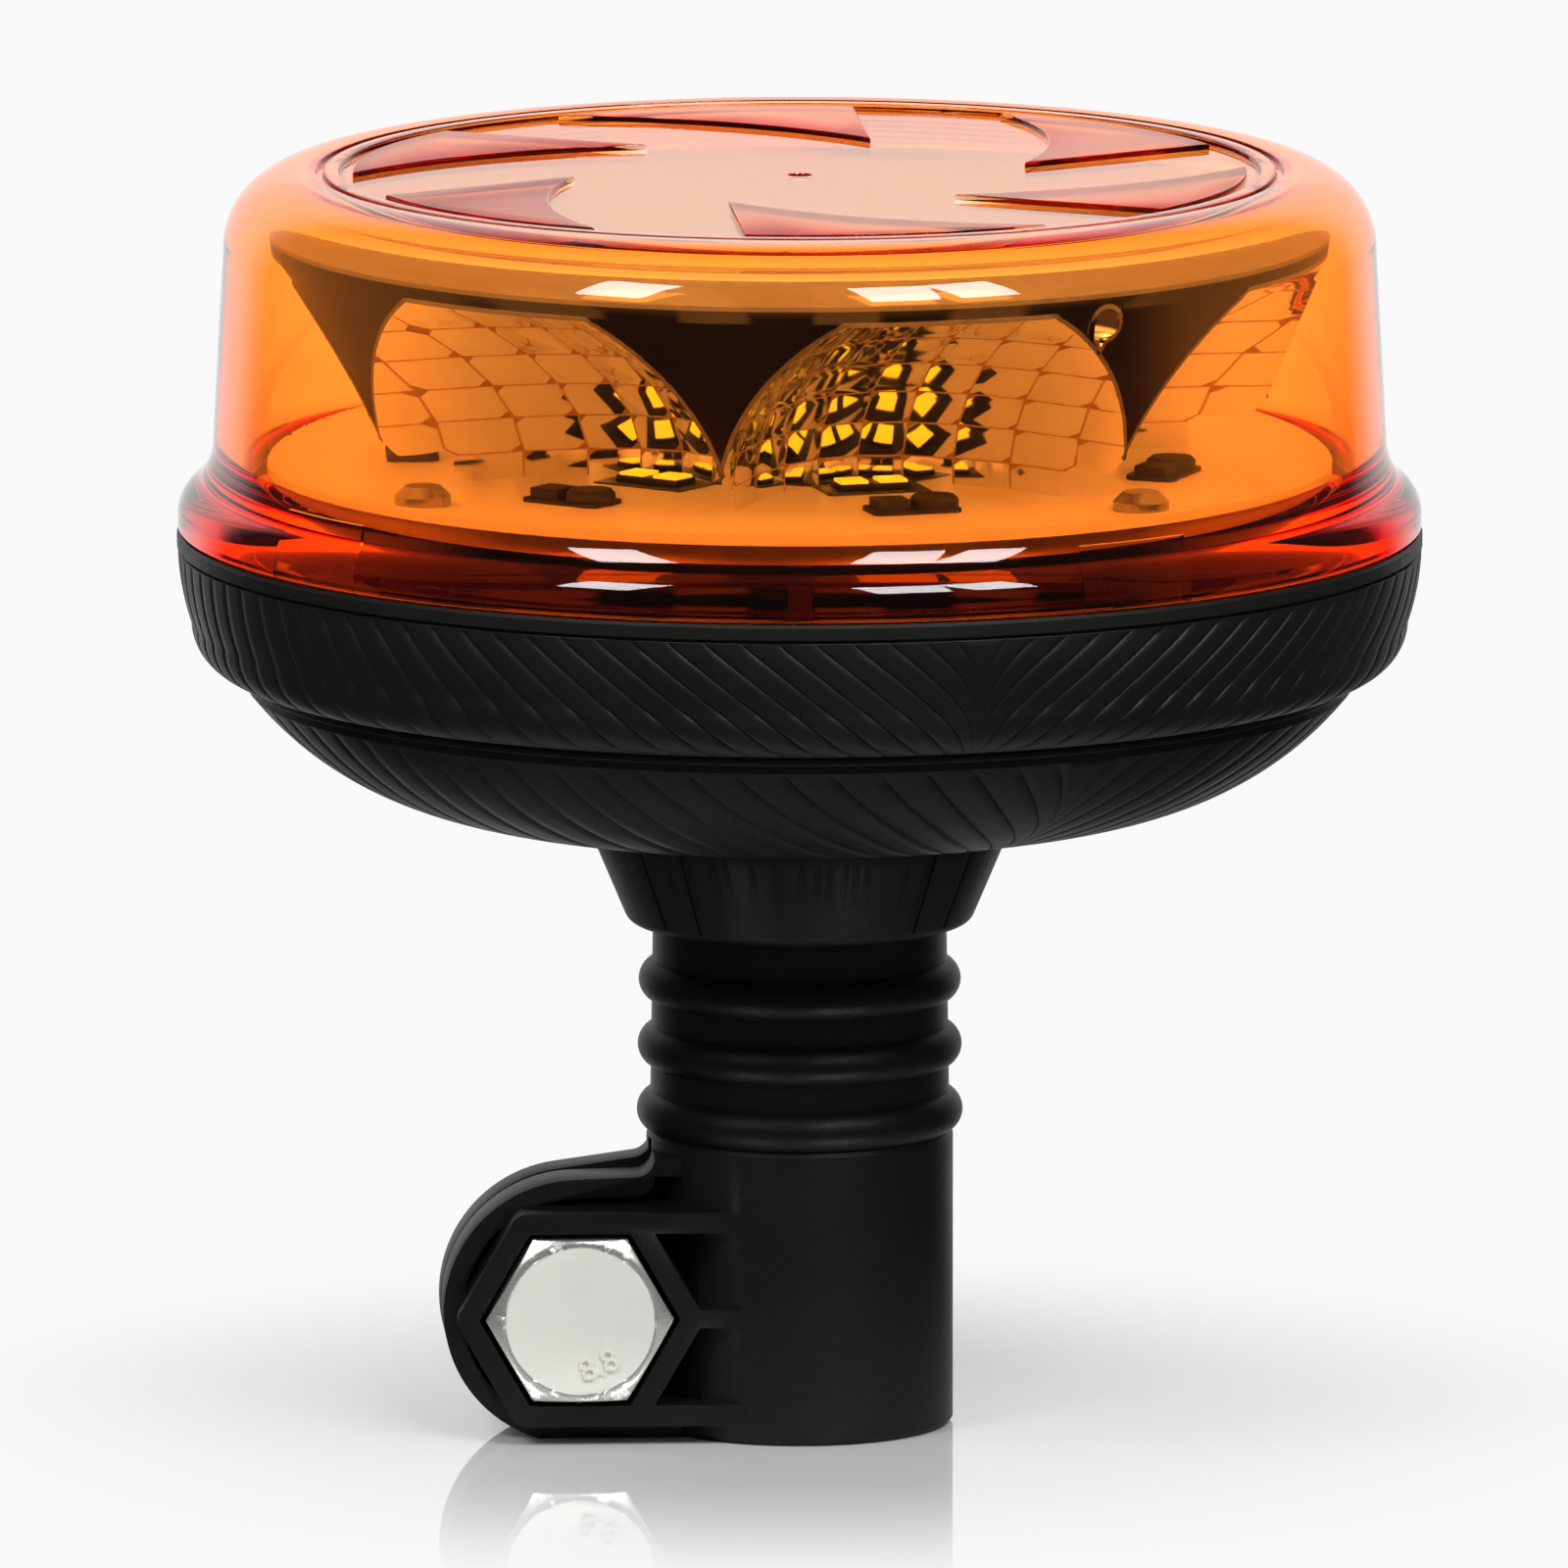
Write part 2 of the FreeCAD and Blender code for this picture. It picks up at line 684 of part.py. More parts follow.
def neckRetainer():
    plate = ring(retainerHole, retainerRadius, retainerBottom, retainerTop)
    clear = screwDiameter / 2 + screwHoleClearance
    cuts = holes(clear, retainerScrewRadius, quarterAngles, retainerBottom, retainerTop)
    cuts.append(cylinder(leadRadius + 2 * fitClearance, retainerBottom, retainerTop, leadPlaces[1]))
    return plate.cut(cuts)


def bowlSeal():
    middle = bowlWallRadius - bowlWall / 2
    return ring(middle - bowlSealWidth / 2, middle + bowlSealWidth / 2, bowlTop - bowlSealHeight, bowlTop)


def sealRadius():
    return (headRadius + rimInner) / 2


def baseRim():
    corner = (rimBottomRadius, rimBottom + rimCorner)
    side = (rimSideRadius, rimBottom + rimCorner)
    # A smooth lip stands over the grooved band, with a recess line between them.
    lipBottom = rimTop - rimLipHeight
    edge = (headRadius - rimBandInset, lipBottom - rimRecessHeight)
    bulge = ((side[0] + edge[0]) / 2 + rimBulge, (side[1] + edge[1]) / 2)
    recess = edge[0] - rimRecessDepth
    groove = sealRadius() - sealWidth / 2 - fitClearance
    grooveEnd = sealRadius() + sealWidth / 2 + fitClearance
    grooveFloor = lensBottom - sealHeight
    steps = [(rimBottomRadius, rimBottom), (arcMiddle(corner, rimCorner, -45), side), (bulge, edge)]
    steps += [(recess, edge[1]), (recess, lipBottom), (headRadius, lipBottom)]
    steps += [(headRadius, rimTop - rimTopRound), (headRadius - rimTopRound, rimTop)]
    steps += [(grooveEnd, rimTop), (grooveEnd, grooveFloor)]
    steps += [(groove, grooveFloor), (groove, rimTop), (rimInner, rimTop), (rimInner, webTop)]
    steps += [(webInner, webTop), (webInner, bowlTop), (rimBore, bowlTop)]
    rim = revolved((rimBore, rimBottom), steps)
    # Catches over the lens lugs.
    catchRoot = (rimInner + groove) / 2
    catchSteps = [(catchRoot, lensLugTop + fitClearance), (catchRoot, rimTop)]
    catchSteps += [(lensSkirtRadius + fitClearance, rimTop)]
    catch = revolved((lensSkirtRadius + fitClearance, lensLugTop + fitClearance), catchSteps, lensLugAngle)
    added = [turned(catch, angle - lensLugAngle / 2) for angle in lugAngles()]
    added += holes(postRadius, postCircle, postAngles(), bowlTop, plateBottom)
    rim = rim.multiFuse(added)
    cuts = holes(screwDiameter / 2, postCircle, postAngles(), webTop, plateBottom)
    cuts += holes(screwDiameter / 2 + screwHoleClearance, rimScrewRadius, quarterAngles, bowlTop, webTop)
    return rim.cut(cuts).removeSplitter()


def lugAngles():
    return [frontAngle + lensLugFirst + 360.0 / lensLugs * index for index in range(lensLugs)]


def postAngles():
    return [joinAngles[0] + angle for angle in quarterAngles]


def lensSeal():
    # Square ring with a crowned top that bears on the lens flange.
    inner = sealRadius() - sealWidth / 2
    outer = sealRadius() + sealWidth / 2
    low = lensBottom - sealHeight
    crown = ((sealRadius(), lensBottom), (inner, rimTop))
    return revolved((inner, low), [(outer, low), (outer, rimTop), crown])


# Lens

def lensBlade():
    # One raised blade of the pinwheel: a straight edge, an outer arc and a
    # hollow edge that runs back to the inner tip.
    height = lensPlateau - lensRelief
    outer = plateauRadius - bladeMargin
    tip = polar(bladeTipRadius, -bladeLean, height)
    lead = polar(outer, 0.0, height)
    trail = polar(outer, bladeAngle, height)
    hollow = polar((outer + 2 * bladeTipRadius) / 3 + bladeHollow, bladeAngle * bladeHollowTurn, height)
    edges = [Part.LineSegment(tip, lead).toShape()]
    edges.append(Part.Arc(lead, polar(outer, bladeAngle / 2, height), trail).toShape())
    edges.append(Part.Arc(trail, hollow, tip).toShape())
    return Part.Face(Part.Wire(edges)).extrude(Vector(0, 0, lensTop - height))


def lensDome():
    skirtBottom = lensBottom - lensSkirtDepth
    skirtInner = lensSkirtRadius - lensSkirtWidth
    flareTop = lensBottom + lensFlangeHeight
    wallFoot = lensWallRadius + lensDraft
    noseEnd = (lensFlangeRadius - lensNoseStep, lensBottom + lensNoseTop)
    flare = ((wallFoot + lensFlareRound, lensBottom + lensFlareMiddle), (wallFoot, flareTop))
    noseArc = ((lensFlangeRadius - lensNoseRound, lensBottom + lensNoseMiddle), noseEnd)
    shoulderCentre = (lensWallRadius - lensShoulder, lensShoulderBase)
    shoulder = (arcMiddle(shoulderCentre, lensShoulder, 45), (shoulderCentre[0], lensTop))
    innerRound = lensShoulder - lensWall
    innerEnd = (shoulderCentre[0] + innerRound, lensShoulderBase)
    innerShoulder = (arcMiddle(shoulderCentre, innerRound, 45), innerEnd)
    grooves = lensRingRadius - lensRingGroove
    inside = plateauRadius + lensRingGroove
    steps = [(lensSkirtRadius, skirtBottom), (lensSkirtRadius, lensBottom)]
    steps += [(lensFlangeRadius - lensFlangeEdge, lensBottom)]
    steps += [(lensFlangeRadius, lensBottom + lensFlangeEdge)]
    steps += [(lensFlangeRadius, lensBottom + lensNoseHeight), noseArc, flare]
    steps += [(lensWallRadius, lensShoulderBase), shoulder]
    steps += [(lensRingRadius, lensTop), (lensRingRadius, lensPlateau), (grooves, lensPlateau)]
    steps += [(grooves, lensTop), (inside, lensTop), (inside, lensPlateau)]
    steps += [(0.0, lensPlateau), (0.0, lensTop - lensWall)]
    steps += [(shoulderCentre[0], lensTop - lensWall), innerShoulder]
    dome = revolved((skirtInner, skirtBottom), steps)
    lugSteps = [(lensSkirtRadius + lensLugDepth, skirtBottom), (lensSkirtRadius + lensLugDepth, lensLugTop)]
    lugSteps += [(lensSkirtRadius - lensSkirtWidth / 2, lensLugTop)]
    lug = revolved((lensSkirtRadius - lensSkirtWidth / 2, skirtBottom), lugSteps, lensLugAngle)
    added = [turned(lug, angle - lensLugAngle / 2) for angle in lugAngles()]
    blade = lensBlade()
    added += [turned(blade, bladeFirst + 360.0 / lensBlades * index) for index in range(lensBlades)]
    dimple = Part.makeSphere(lensDimple, Vector(0, 0, lensPlateau + lensDimple / 3))
    # Shallow pockets behind the lugs, which show through the flange.
    tabTop = lensBottom + lensTabHeight
    pocket = [(skirtInner + lensTabDepth, skirtBottom), (skirtInner + lensTabDepth, tabTop)]
    pocket += [(skirtInner - lensTabDepth, tabTop)]
    tab = revolved((skirtInner - lensTabDepth, skirtBottom), pocket, lensTabAngle)
    cuts = [turned(tab, angle - lensTabAngle / 2) for angle in lugAngles()]
    return dome.multiFuse(added).cut(cuts + [dimple]).removeSplitter()


# Light unit

def heatPlate():
    plate = ring(leadHole, boardRadius, plateBottom, plateTop)
    clear = screwDiameter / 2 + screwHoleClearance
    cuts = holes(clear, postCircle, postAngles(), plateBottom, plateTop)
    cuts += holes(clear, reflectorScrewCircle, quarterAngles, plateBottom, plateTop)
    return plate.cut(cuts)


def ledBoard():
    board = cylinder(boardRadius, plateTop, boardTop)
    clear = screwDiameter / 2 + screwHoleClearance
    cuts = holes(clear, postCircle, postAngles(), plateTop, boardTop)
    cuts += holes(clear, reflectorScrewCircle, quarterAngles, plateTop, boardTop)
    return board.cut(cuts)


def ledModule():
    # Two dice side by side under clear domes on one carrier.
    width = ledPitch + ledWidth
    base = Part.makeBox(ledWidth, width, ledHeight, Vector(ledCircle - ledWidth / 2, -width / 2, boardTop))
    domes = []
    for side in (-0.5, 0.5):
        centre = Vector(ledCircle, side * ledPitch, boardTop + ledHeight)
        domes.append(Part.makeSphere(ledDome, centre, upAxis, 0, 90, 360))
    return base.multiFuse(domes).removeSplitter()


def choke():
    # A round choke and a chip side by side on one small carrier.
    corner = Vector(-driverWidth / 2, -driverLength / 2, 0)
    base = Part.makeBox(driverWidth, driverLength, driverHeight, corner)
    upright = [edge for edge in base.Edges if abs(edge.tangentAt(edge.FirstParameter).z) > 0.99]
    base = base.makeFillet(driverRound, upright)
    aside = driverLength / 4
    top = driverHeight + chokeHeight
    steps = [(chokeRadius, 0.0), (chokeRadius, top - chokeChamfer)]
    steps += [(chokeRadius - chokeChamfer, top), (0.0, top)]
    drum = revolved((0.0, 0.0), steps)
    drum.translate(Vector(0, aside, 0))
    chipCorner = Vector(-chipSize / 2, -aside - chipSize / 2, 0)
    chip = Part.makeBox(chipSize, chipSize, driverHeight + chipHeight, chipCorner)
    body = base.multiFuse([drum, chip]).removeSplitter()
    body.translate(Vector(chokeCircle, 0, boardTop))
    return body


def cupStation(aside, height):
    # Distance from the beacon's axis to the cup's paraboloid.
    return cupVertex + aside ** 2 / cupLatus + (height - cupAxis) ** 2 / cupRise


def cupCutter():
    # Faceted half-paraboloid on a square grid. The corners of each facet lie
    # on the paraboloid, which makes every facet flat.
    asides = [cupGridHalf * (2 * index / cupColumns - 1) for index in range(cupColumns + 1)]
    low = boardTop - cupFootMargin
    heights = [low + (roofBottom - low) * index / cupRows for index in range(cupRows + 1)]
    grid = [[Vector(cupStation(aside, height), aside, height) for height in heights] for aside in asides]
    front = 2 * headRadius
    outer = [[Vector(front, aside, height) for height in (heights[0], heights[-1])]
             for aside in (asides[0], asides[-1])]
    outlines = []
    for column, nextColumn in zip(grid, grid[1:]):
        for row in range(cupRows):
            outlines.append([column[row], nextColumn[row], nextColumn[row + 1], column[row + 1]])
    for column, ends in ((grid[0], outer[0]), (grid[-1], outer[1])):
        outlines.append(column + [ends[1], ends[0]])
    for row, end in ((0, 0), (cupRows, 1)):
        outlines.append([column[row] for column in grid] + [outer[1][end], outer[0][end]])
    outlines.append([outer[0][0], outer[1][0], outer[1][1], outer[0][1]])
    faces = [Part.Face(Part.makePolygon(outline + outline[:1])) for outline in outlines]
    return Part.makeSolid(Part.makeShell(faces))


def landPocket():
    # Drop-shaped locating pocket near the top of a land.
    height = roofBottom - pocketDrop
    start = Vector(reflectorTopRadius - pocketDepth, 0, height)
    outward = Vector(1, 0, 0)
    round = Part.makeCylinder(pocketRadius, 2 * pocketDepth, start, outward)
    point = Part.makeBox(2 * pocketDepth, pocketRadius, pocketRadius, start)
    point.rotate(start, outward, 225)
    return round.fuse(point).removeSplitter()


def reflectorRing():
    steps = [(reflectorFootRadius, boardTop), (reflectorTopRadius, roofBottom)]
    steps += [(reflectorTopRadius, reflectorTop), (0.0, reflectorTop)]
    body = revolved((0.0, boardTop), steps)
    cup = cupCutter()
    cuts = [turned(cup, angle) for angle in cupAngles]
    cuts.append(cylinder(reflectorCore, boardTop, roofBottom))
    pocket = landPocket()
    cuts += [turned(pocket, angle - pocketAside) for angle in joinAngles[::2]]
    shell = body.cut(cuts)
    screwTop = boardTop + 3 * screwBoss
    bosses = holes(screwBoss, reflectorScrewCircle, quarterAngles, boardTop, roofBottom)
    shell = shell.multiFuse(bosses)
    return shell.cut(holes(screwDiameter / 2, reflectorScrewCircle, quarterAngles, boardTop, screwTop))


def cupSet(name, body):
    return {"%s_%d" % (name, index + 1): turned(body, angle) for index, angle in enumerate(cupAngles)}


def buildNodes():
    nodes = {
        "clamp_socket": clampSocket(),
        "clamp_bolt": clampBolt(),
        "clamp_washer": clampWasher(),
        "clamp_nut": clampNut(),
        "contact_carrier": contactCarrier(),
        "earth_ring": earthRing(),
        "contact_pin": contactPin(),
        "contact_spring": contactSpring(),
        "contact_cap": contactCap(),
        "flex_neck": flexNeck(),
        "lead_grommet": leadGrommet(),
        "neck_collar": neckCollar(),
        "base_bowl": baseBowl(),
        "neck_retainer": neckRetainer(),
        "bowl_seal": bowlSeal(),
        "base_rim": baseRim(),
        "lens_seal": lensSeal(),
        "lens_dome": lensDome(),
        "heat_plate": heatPlate(),
        "led_board": ledBoard(),
        "reflector_ring": reflectorRing(),
    }
    nodes.update(leadNodes())
    nodes.update(cupSet("led_module", ledModule()))
    nodes.update(cupSet("choke", choke()))
    retainerScrew = retainerThickness + retainerBottom - bowlFloorTop
    nodes.update(screwSet("retainer_screw", retainerScrew, retainerScrewRadius, quarterAngles, retainerTop))
    rimScrew = rimWeb + 2 * screwBoss - screwCore
    nodes.update(screwSet("rim_screw", rimScrew, rimScrewRadius, quarterAngles, webTop))
    plateScrew = boardTop - webTop - screwCore
    nodes.update(screwSet("plate_screw", plateScrew, postCircle, postAngles(), boardTop))
    reflectorScrew = boardTop - plateBottom + 3 * screwBoss - screwCore
    nodes.update(screwSet("reflector_screw", reflectorScrew, reflectorScrewCircle, quarterAngles,
                          plateBottom, headDown=True))
    return nodes


os.makedirs("parts", exist_ok=True)
for name, shape in buildNodes().items():
    shape.exportStep("parts/%s.step" % name)
    print(name, "valid" if shape.isValid() else "NOT VALID", len(shape.Solids), round(shape.Volume, 1))
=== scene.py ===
import math
import bmesh
import bpy
from mathutils import Matrix, Vector


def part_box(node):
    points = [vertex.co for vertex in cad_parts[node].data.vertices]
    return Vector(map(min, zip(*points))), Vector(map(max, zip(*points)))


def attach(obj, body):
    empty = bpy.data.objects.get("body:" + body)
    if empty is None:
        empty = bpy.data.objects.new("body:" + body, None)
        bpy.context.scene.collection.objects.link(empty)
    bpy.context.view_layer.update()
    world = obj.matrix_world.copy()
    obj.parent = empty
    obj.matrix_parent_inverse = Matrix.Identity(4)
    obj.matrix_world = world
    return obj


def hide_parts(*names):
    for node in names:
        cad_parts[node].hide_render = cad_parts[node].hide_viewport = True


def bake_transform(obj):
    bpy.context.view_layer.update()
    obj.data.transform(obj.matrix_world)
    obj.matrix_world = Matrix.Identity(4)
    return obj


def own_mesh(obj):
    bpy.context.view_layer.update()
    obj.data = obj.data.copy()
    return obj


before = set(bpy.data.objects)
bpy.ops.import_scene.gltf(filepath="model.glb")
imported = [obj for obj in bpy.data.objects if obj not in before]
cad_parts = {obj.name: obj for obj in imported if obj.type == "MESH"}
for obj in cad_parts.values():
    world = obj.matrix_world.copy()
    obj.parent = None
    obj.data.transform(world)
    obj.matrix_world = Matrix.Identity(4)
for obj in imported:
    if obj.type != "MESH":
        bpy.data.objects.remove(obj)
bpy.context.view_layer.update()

# LED warning beacon: amber lens drum on a grooved black base, flexible neck and pole clamp.
# Sizes are in millimetres, heights from the mouth of the pole socket.
mm = 0.001
scene = bpy.context.scene
scene.view_settings.view_transform = "Standard"
scene.cycles.max_bounces = 24           # light turns many times inside the thick flange
scene.cycles.glossy_bounces = 16
scene.cycles.transmission_bounces = 24
print("frame loaded,", len(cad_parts), "nodes")


# Camera

shot = {
    "distance": 3500.0,
    "elevation": 9.4,
    "azimuth": -3.0,
    "aimHeight": 67.5,
    "aimAside": -1.64,   # the axis stands a little right of the middle
    "frameWidth": 163.84,
    "sensor": 36.0,
}


def placeCamera():
    turn = math.radians(shot["azimuth"])
    rise = math.radians(shot["elevation"])
    aside = Vector((math.cos(turn), math.sin(turn), 0)) * shot["aimAside"]
    aim = (aside + Vector((0, 0, shot["aimHeight"]))) * mm
    back = Vector((math.sin(turn) * math.cos(rise), -math.cos(turn) * math.cos(rise), math.sin(rise)))
    camera = bpy.data.objects.new("camera", bpy.data.cameras.new("camera"))
    camera.data.sensor_width = shot["sensor"]
    camera.data.lens = shot["sensor"] * shot["distance"] / shot["frameWidth"]
    camera.location = aim + back * shot["distance"] * mm
    camera.rotation_euler = (-back).to_track_quat("-Z", "Y").to_euler()
    scene.collection.objects.link(camera)
    scene.camera = camera


placeCamera()
print("camera placed")


# Materials

def linear(hexCode):
    shares = [int(hexCode[start:start + 2], 16) / 255 for start in (1, 3, 5)]
    return [share / 12.92 if share <= 0.04045 else ((share + 0.055) / 1.055) ** 2.4
            for share in shares] + [1.0]


def setNode(tree, node, values=None, links=None):
    # A link comes from an output, or from a node's first output.
    for socket, value in (values or {}).items():
        node.inputs[socket].default_value = value
    for socket, source in (links or {}).items():
        output = source.outputs[0] if isinstance(source, bpy.types.Node) else source
        tree.links.new(output, node.inputs[socket])
    return node


def addNode(tree, kind, values=None, links=None, **settings):
    node = tree.nodes.new("ShaderNode" + kind)
    for name, value in settings.items():
        setattr(node, name, value)
    return setNode(tree, node, values, links)


def between(span, least=0.0, most=1.0):
    # Values for a map range.
    return {"From Min": span[0], "From Max": span[1], "To Min": least, "To Max": most}


def startMaterial(name):
    material = bpy.data.materials.new(name)
    material.use_nodes = True
    tree = material.node_tree
    return material, tree, tree.nodes["Principled BSDF"]


mottle = {
    "fineShare": 0.35,       # of the fine grain in tone and roughness, the rest is patches
    "fineDetail": 2.0,
    "patchDetail": 4.0,
    "wearSpan": (0.3, 0.7),  # of the pattern, where the roughness wanders
}


def grained(name, dark, light, grain, relief, rough, gloss=0.5, patch=16.0, metal=0.0, reach=0.08,
            glow=0.0):
    # A solid-coloured finish: fine grain in relief, with tone and roughness that wander over patches.
    # grain, relief and patch are in millimetres.
    material, tree, shader = startMaterial(name)
    where = addNode(tree, "TexCoord").outputs["Object"]
    fine, wide = [addNode(tree, "TexNoise", {"Scale": 1 / (size * mm), "Detail": detail},
                          {"Vector": where}).outputs["Fac"]
                  for size, detail in ((grain, mottle["fineDetail"]), (patch, mottle["patchDetail"]))]
    both = addNode(tree, "Mix", {0: mottle["fineShare"]}, {2: wide, 3: fine})
    tone = addNode(tree, "Mix", {6: linear(dark), 7: linear(light)}, {0: both}, data_type="RGBA")
    wear = addNode(tree, "MapRange", between(mottle["wearSpan"], rough - reach, rough + reach),
                   {"Value": both})
    bump = addNode(tree, "Bump", {"Strength": 1.0, "Distance": relief * mm}, {"Height": fine})
    setNode(tree, shader, {"Metallic": metal, "Specular IOR Level": gloss},
            {"Base Color": tone.outputs[2], "Roughness": wear, "Normal": bump})
    # glow paints light: the surface emits its own light tone, though it is no lamp.
    if glow:
        setNode(tree, shader, {"Emission Color": linear(light), "Emission Strength": glow})
    return material


# Glass-filled nylon, moulded in a spark-eroded tool: near black, dull, with a fine even grain.
glassFilledNylon = grained("glass_filled_nylon", "#080907", "#121311", 0.3, 0.05, 0.46, 0.2)
# ABS for the base, moulded in a finer tool: a softer black that shows broad pale sheens.
mouldedAbs = grained("moulded_abs", "#0a0b09", "#141512", 0.35, 0.012, 0.48, 0.36)
# The same ABS from a duller tool on the bowl and collar: a flat black without sheens.
dullAbs = grained("dull_moulded_abs", "#090a08", "#111210", 0.35, 0.016, 0.5, 0.18)
# Thermoplastic elastomer of the neck: blackest of all, with a visible matt speckle.
neckElastomer = grained("neck_elastomer", "#050605", "#0d0e0c", 0.3, 0.05, 0.45, 0.22)
# EPDM rubber of the seals and the grommet: dead matt, slightly dusty.
epdmRubber = grained("epdm_rubber", "#0d0d0c", "#1c1c1a", 0.3, 0.02, 0.8, 0.25)
# Talc-filled nylon of the hidden retainer: dark grey, dull.
retainerNylon = grained("retainer_nylon", "#151614", "#232421", 0.5, 0.02, 0.55, 0.35)
# PBT of the contact carrier: mid grey with a faint flow pattern.
carrierPbt = grained("carrier_pbt", "#5b5e5f", "#6d7071", 0.4, 0.012, 0.45)
# PVC lead insulation, extruded: even colour and a soft shine.
redPvc = grained("red_pvc", "#8f1410", "#a81c16", 0.6, 0.006, 0.38)
blackPvc = grained("black_pvc", "#121212", "#1d1d1c", 0.6, 0.006, 0.38)
# White solder resist on the LED board: slightly glossy paint over faint copper tracks.
solderResist = grained("white_solder_resist", "#e4e4de", "#f4f4ef", 0.7, 0.01, 0.34)
# Ferrite chokes: charcoal, matt and slightly porous.
ferrite = grained("ferrite", "#1b1b1c", "#2c2c2d", 0.3, 0.03, 0.62)
# Phosphor dice under silicone: lemon yellow with a wet shine, and a painted glow: they emit light though
# the LEDs are off.
phosphorPaintedGlow = grained("phosphor_silicone_painted_glow", "#f2c200", "#ffe23a", 0.5, 0.004, 0.18, glow=1.3)

# Zinc plate on the clamp's hardware: bright, slightly milky, with fine crystals.
zincPlate = grained("zinc_plate", "#c9c9c4", "#dededa", 0.4, 0.006, 0.28, patch=6.0, metal=0.8, reach=0.05)
# Bright brass contacts: warm yellow metal, lightly rubbed.
contactBrass = grained("contact_brass", "#b9923f", "#cda650", 0.5, 0.006, 0.26, patch=5.0, metal=1.0)
# Drawn spring steel: grey and clean.
springSteel = grained("spring_steel", "#8e9094", "#a5a7aa", 0.4, 0.006, 0.30, patch=4.0, metal=1.0)
# Stainless screws, cold headed: brighter than the spring, a little rough.
stainlessSteel = grained("stainless_steel", "#a9aaab", "#bebfbf", 0.4, 0.008, 0.32, patch=4.0, metal=1.0)
# Milled aluminium plate: pale satin metal.
milledAluminium = grained("milled_aluminium", "#b9bbbd", "#cfd1d2", 0.6, 0.01, 0.36, patch=8.0, metal=1.0)
# Vacuum-metallised polycarbonate of the reflector cups: a mirror with the faintest moulding haze.
metallisedCupSeamShaded = grained("metallised_cup_painted_seam_shade", "#efefed", "#f9f9f7", 2.4, 0.004, 0.07, patch=10.0, metal=1.0,
                        reach=0.03)
# Painted shade: thin tan matt lines along the seams between the facets stand in for the shadows in the
# creases between the pillows.
seamShade = {"colour": "#b08a5c", "rough": 0.55, "metal": 0.3, "span": (0.84, 0.98)}


# Mixes the painted seam shade into a material wherever the seam mark is one.
def withPaintedSeamShade(material):
    tree = material.node_tree
    shader = tree.nodes["Principled BSDF"]
    seam = addNode(tree, "Attribute", attribute_name="seam").outputs["Fac"]
    line = addNode(tree, "MapRange", between(seamShade["span"]), {"Value": seam})
    tone = addNode(tree, "Mix", {7: linear(seamShade["colour"])},
                   {0: line, 6: shader.inputs["Base Color"].links[0].from_socket}, data_type="RGBA")
    rough = addNode(tree, "Mix", {3: seamShade["rough"]},
                    {0: line, 2: shader.inputs["Roughness"].links[0].from_socket})
    metal = addNode(tree, "Mix", {2: 1.0, 3: seamShade["metal"]}, {0: line})
    setNode(tree, shader, None, {"Base Color": tone.outputs[2], "Roughness": rough, "Metallic": metal})


withPaintedSeamShade(metallisedCupSeamShaded)
# The masked lands between the cups keep the bare dark moulding.
reflectorLand = grained("reflector_land", "#0a0504", "#120807", 0.5, 0.01, 0.42, 0.15)
# The roof of the reflector is thinly metallised over a grained tool face: a grey satin that scatters light.
# The same finish paints a highlight: the thin pale border round each dark land.
satinRoofAndEdgeHighlight = grained("satin_roof_and_painted_edge_highlight", "#6c6c6a", "#7d7d7b", 0.6, 0.004, 0.5, patch=12.0, metal=0.15)
# Black epoxy of the LED carriers and their pads: even and slightly glossy.
blackEpoxy = grained("black_epoxy", "#0e0e0f", "#19191a", 0.3, 0.006, 0.35, 0.4)
# The struck face of the bolt head, zinc over a forged skin: duller than the machined chamfer.
struckZinc = grained("struck_zinc_face", "#dcdbd5", "#ecebe5", 0.3, 0.02, 0.5, patch=5.0, metal=0.45,
                     reach=0.04)

amber = {
    "ior": 1.5,
    "clearColour": [0.985, 0.62, 0.0, 1.0],   # what one density length lets through
    "density": 560.0,                         # per metre
    "polish": 0.02,
    "frost": 0.3,
    "grain": 0.5,                             # of the etch, in millimetres
    "grainRelief": 0.004,
    "grainDetail": 2.0,
}


def amberPolycarbonate():
    # Dyed through, so a thin wall is orange and the thick flange is red. Blade tops are etched matt.
    material, tree, shader = startMaterial("amber_polycarbonate")
    where = addNode(tree, "TexCoord").outputs["Object"]
    frost = addNode(tree, "Attribute", attribute_name="frost").outputs["Fac"]
    grain = addNode(tree, "TexNoise", {"Scale": 1 / (amber["grain"] * mm), "Detail": amber["grainDetail"]},
                    {"Vector": where})
    etch = addNode(tree, "Math", None, {0: frost, 1: grain.outputs["Fac"]}, operation="MULTIPLY")
    bump = addNode(tree, "Bump", {"Strength": 1.0, "Distance": amber["grainRelief"] * mm},
                   {"Height": etch})
    rough = addNode(tree, "MapRange", between((0.0, 1.0), amber["polish"], amber["frost"]),
                    {"Value": frost})
    setNode(tree, shader, {"Base Color": (1, 1, 1, 1), "Transmission Weight": 1.0, "IOR": amber["ior"]},
            {"Roughness": rough, "Normal": bump})
    dye = addNode(tree, "VolumeAbsorption", {"Color": amber["clearColour"], "Density": amber["density"]})
    setNode(tree, tree.nodes["Material Output"], None, {"Volume": dye})
    return material


lensAmber = amberPolycarbonate()
print("materials made,", len(bpy.data.materials))


# Tools for the pieces

def asObject(shape, name):
    mesh = bpy.data.meshes.new(name)
    shape.to_mesh(mesh)
    shape.free()
    made = bpy.data.objects.new(name, mesh)
    scene.collection.objects.link(made)
    return made


def asMesh(made):
    return bpy.data.meshes.new_from_object(made.evaluated_get(bpy.context.evaluated_depsgraph_get()))


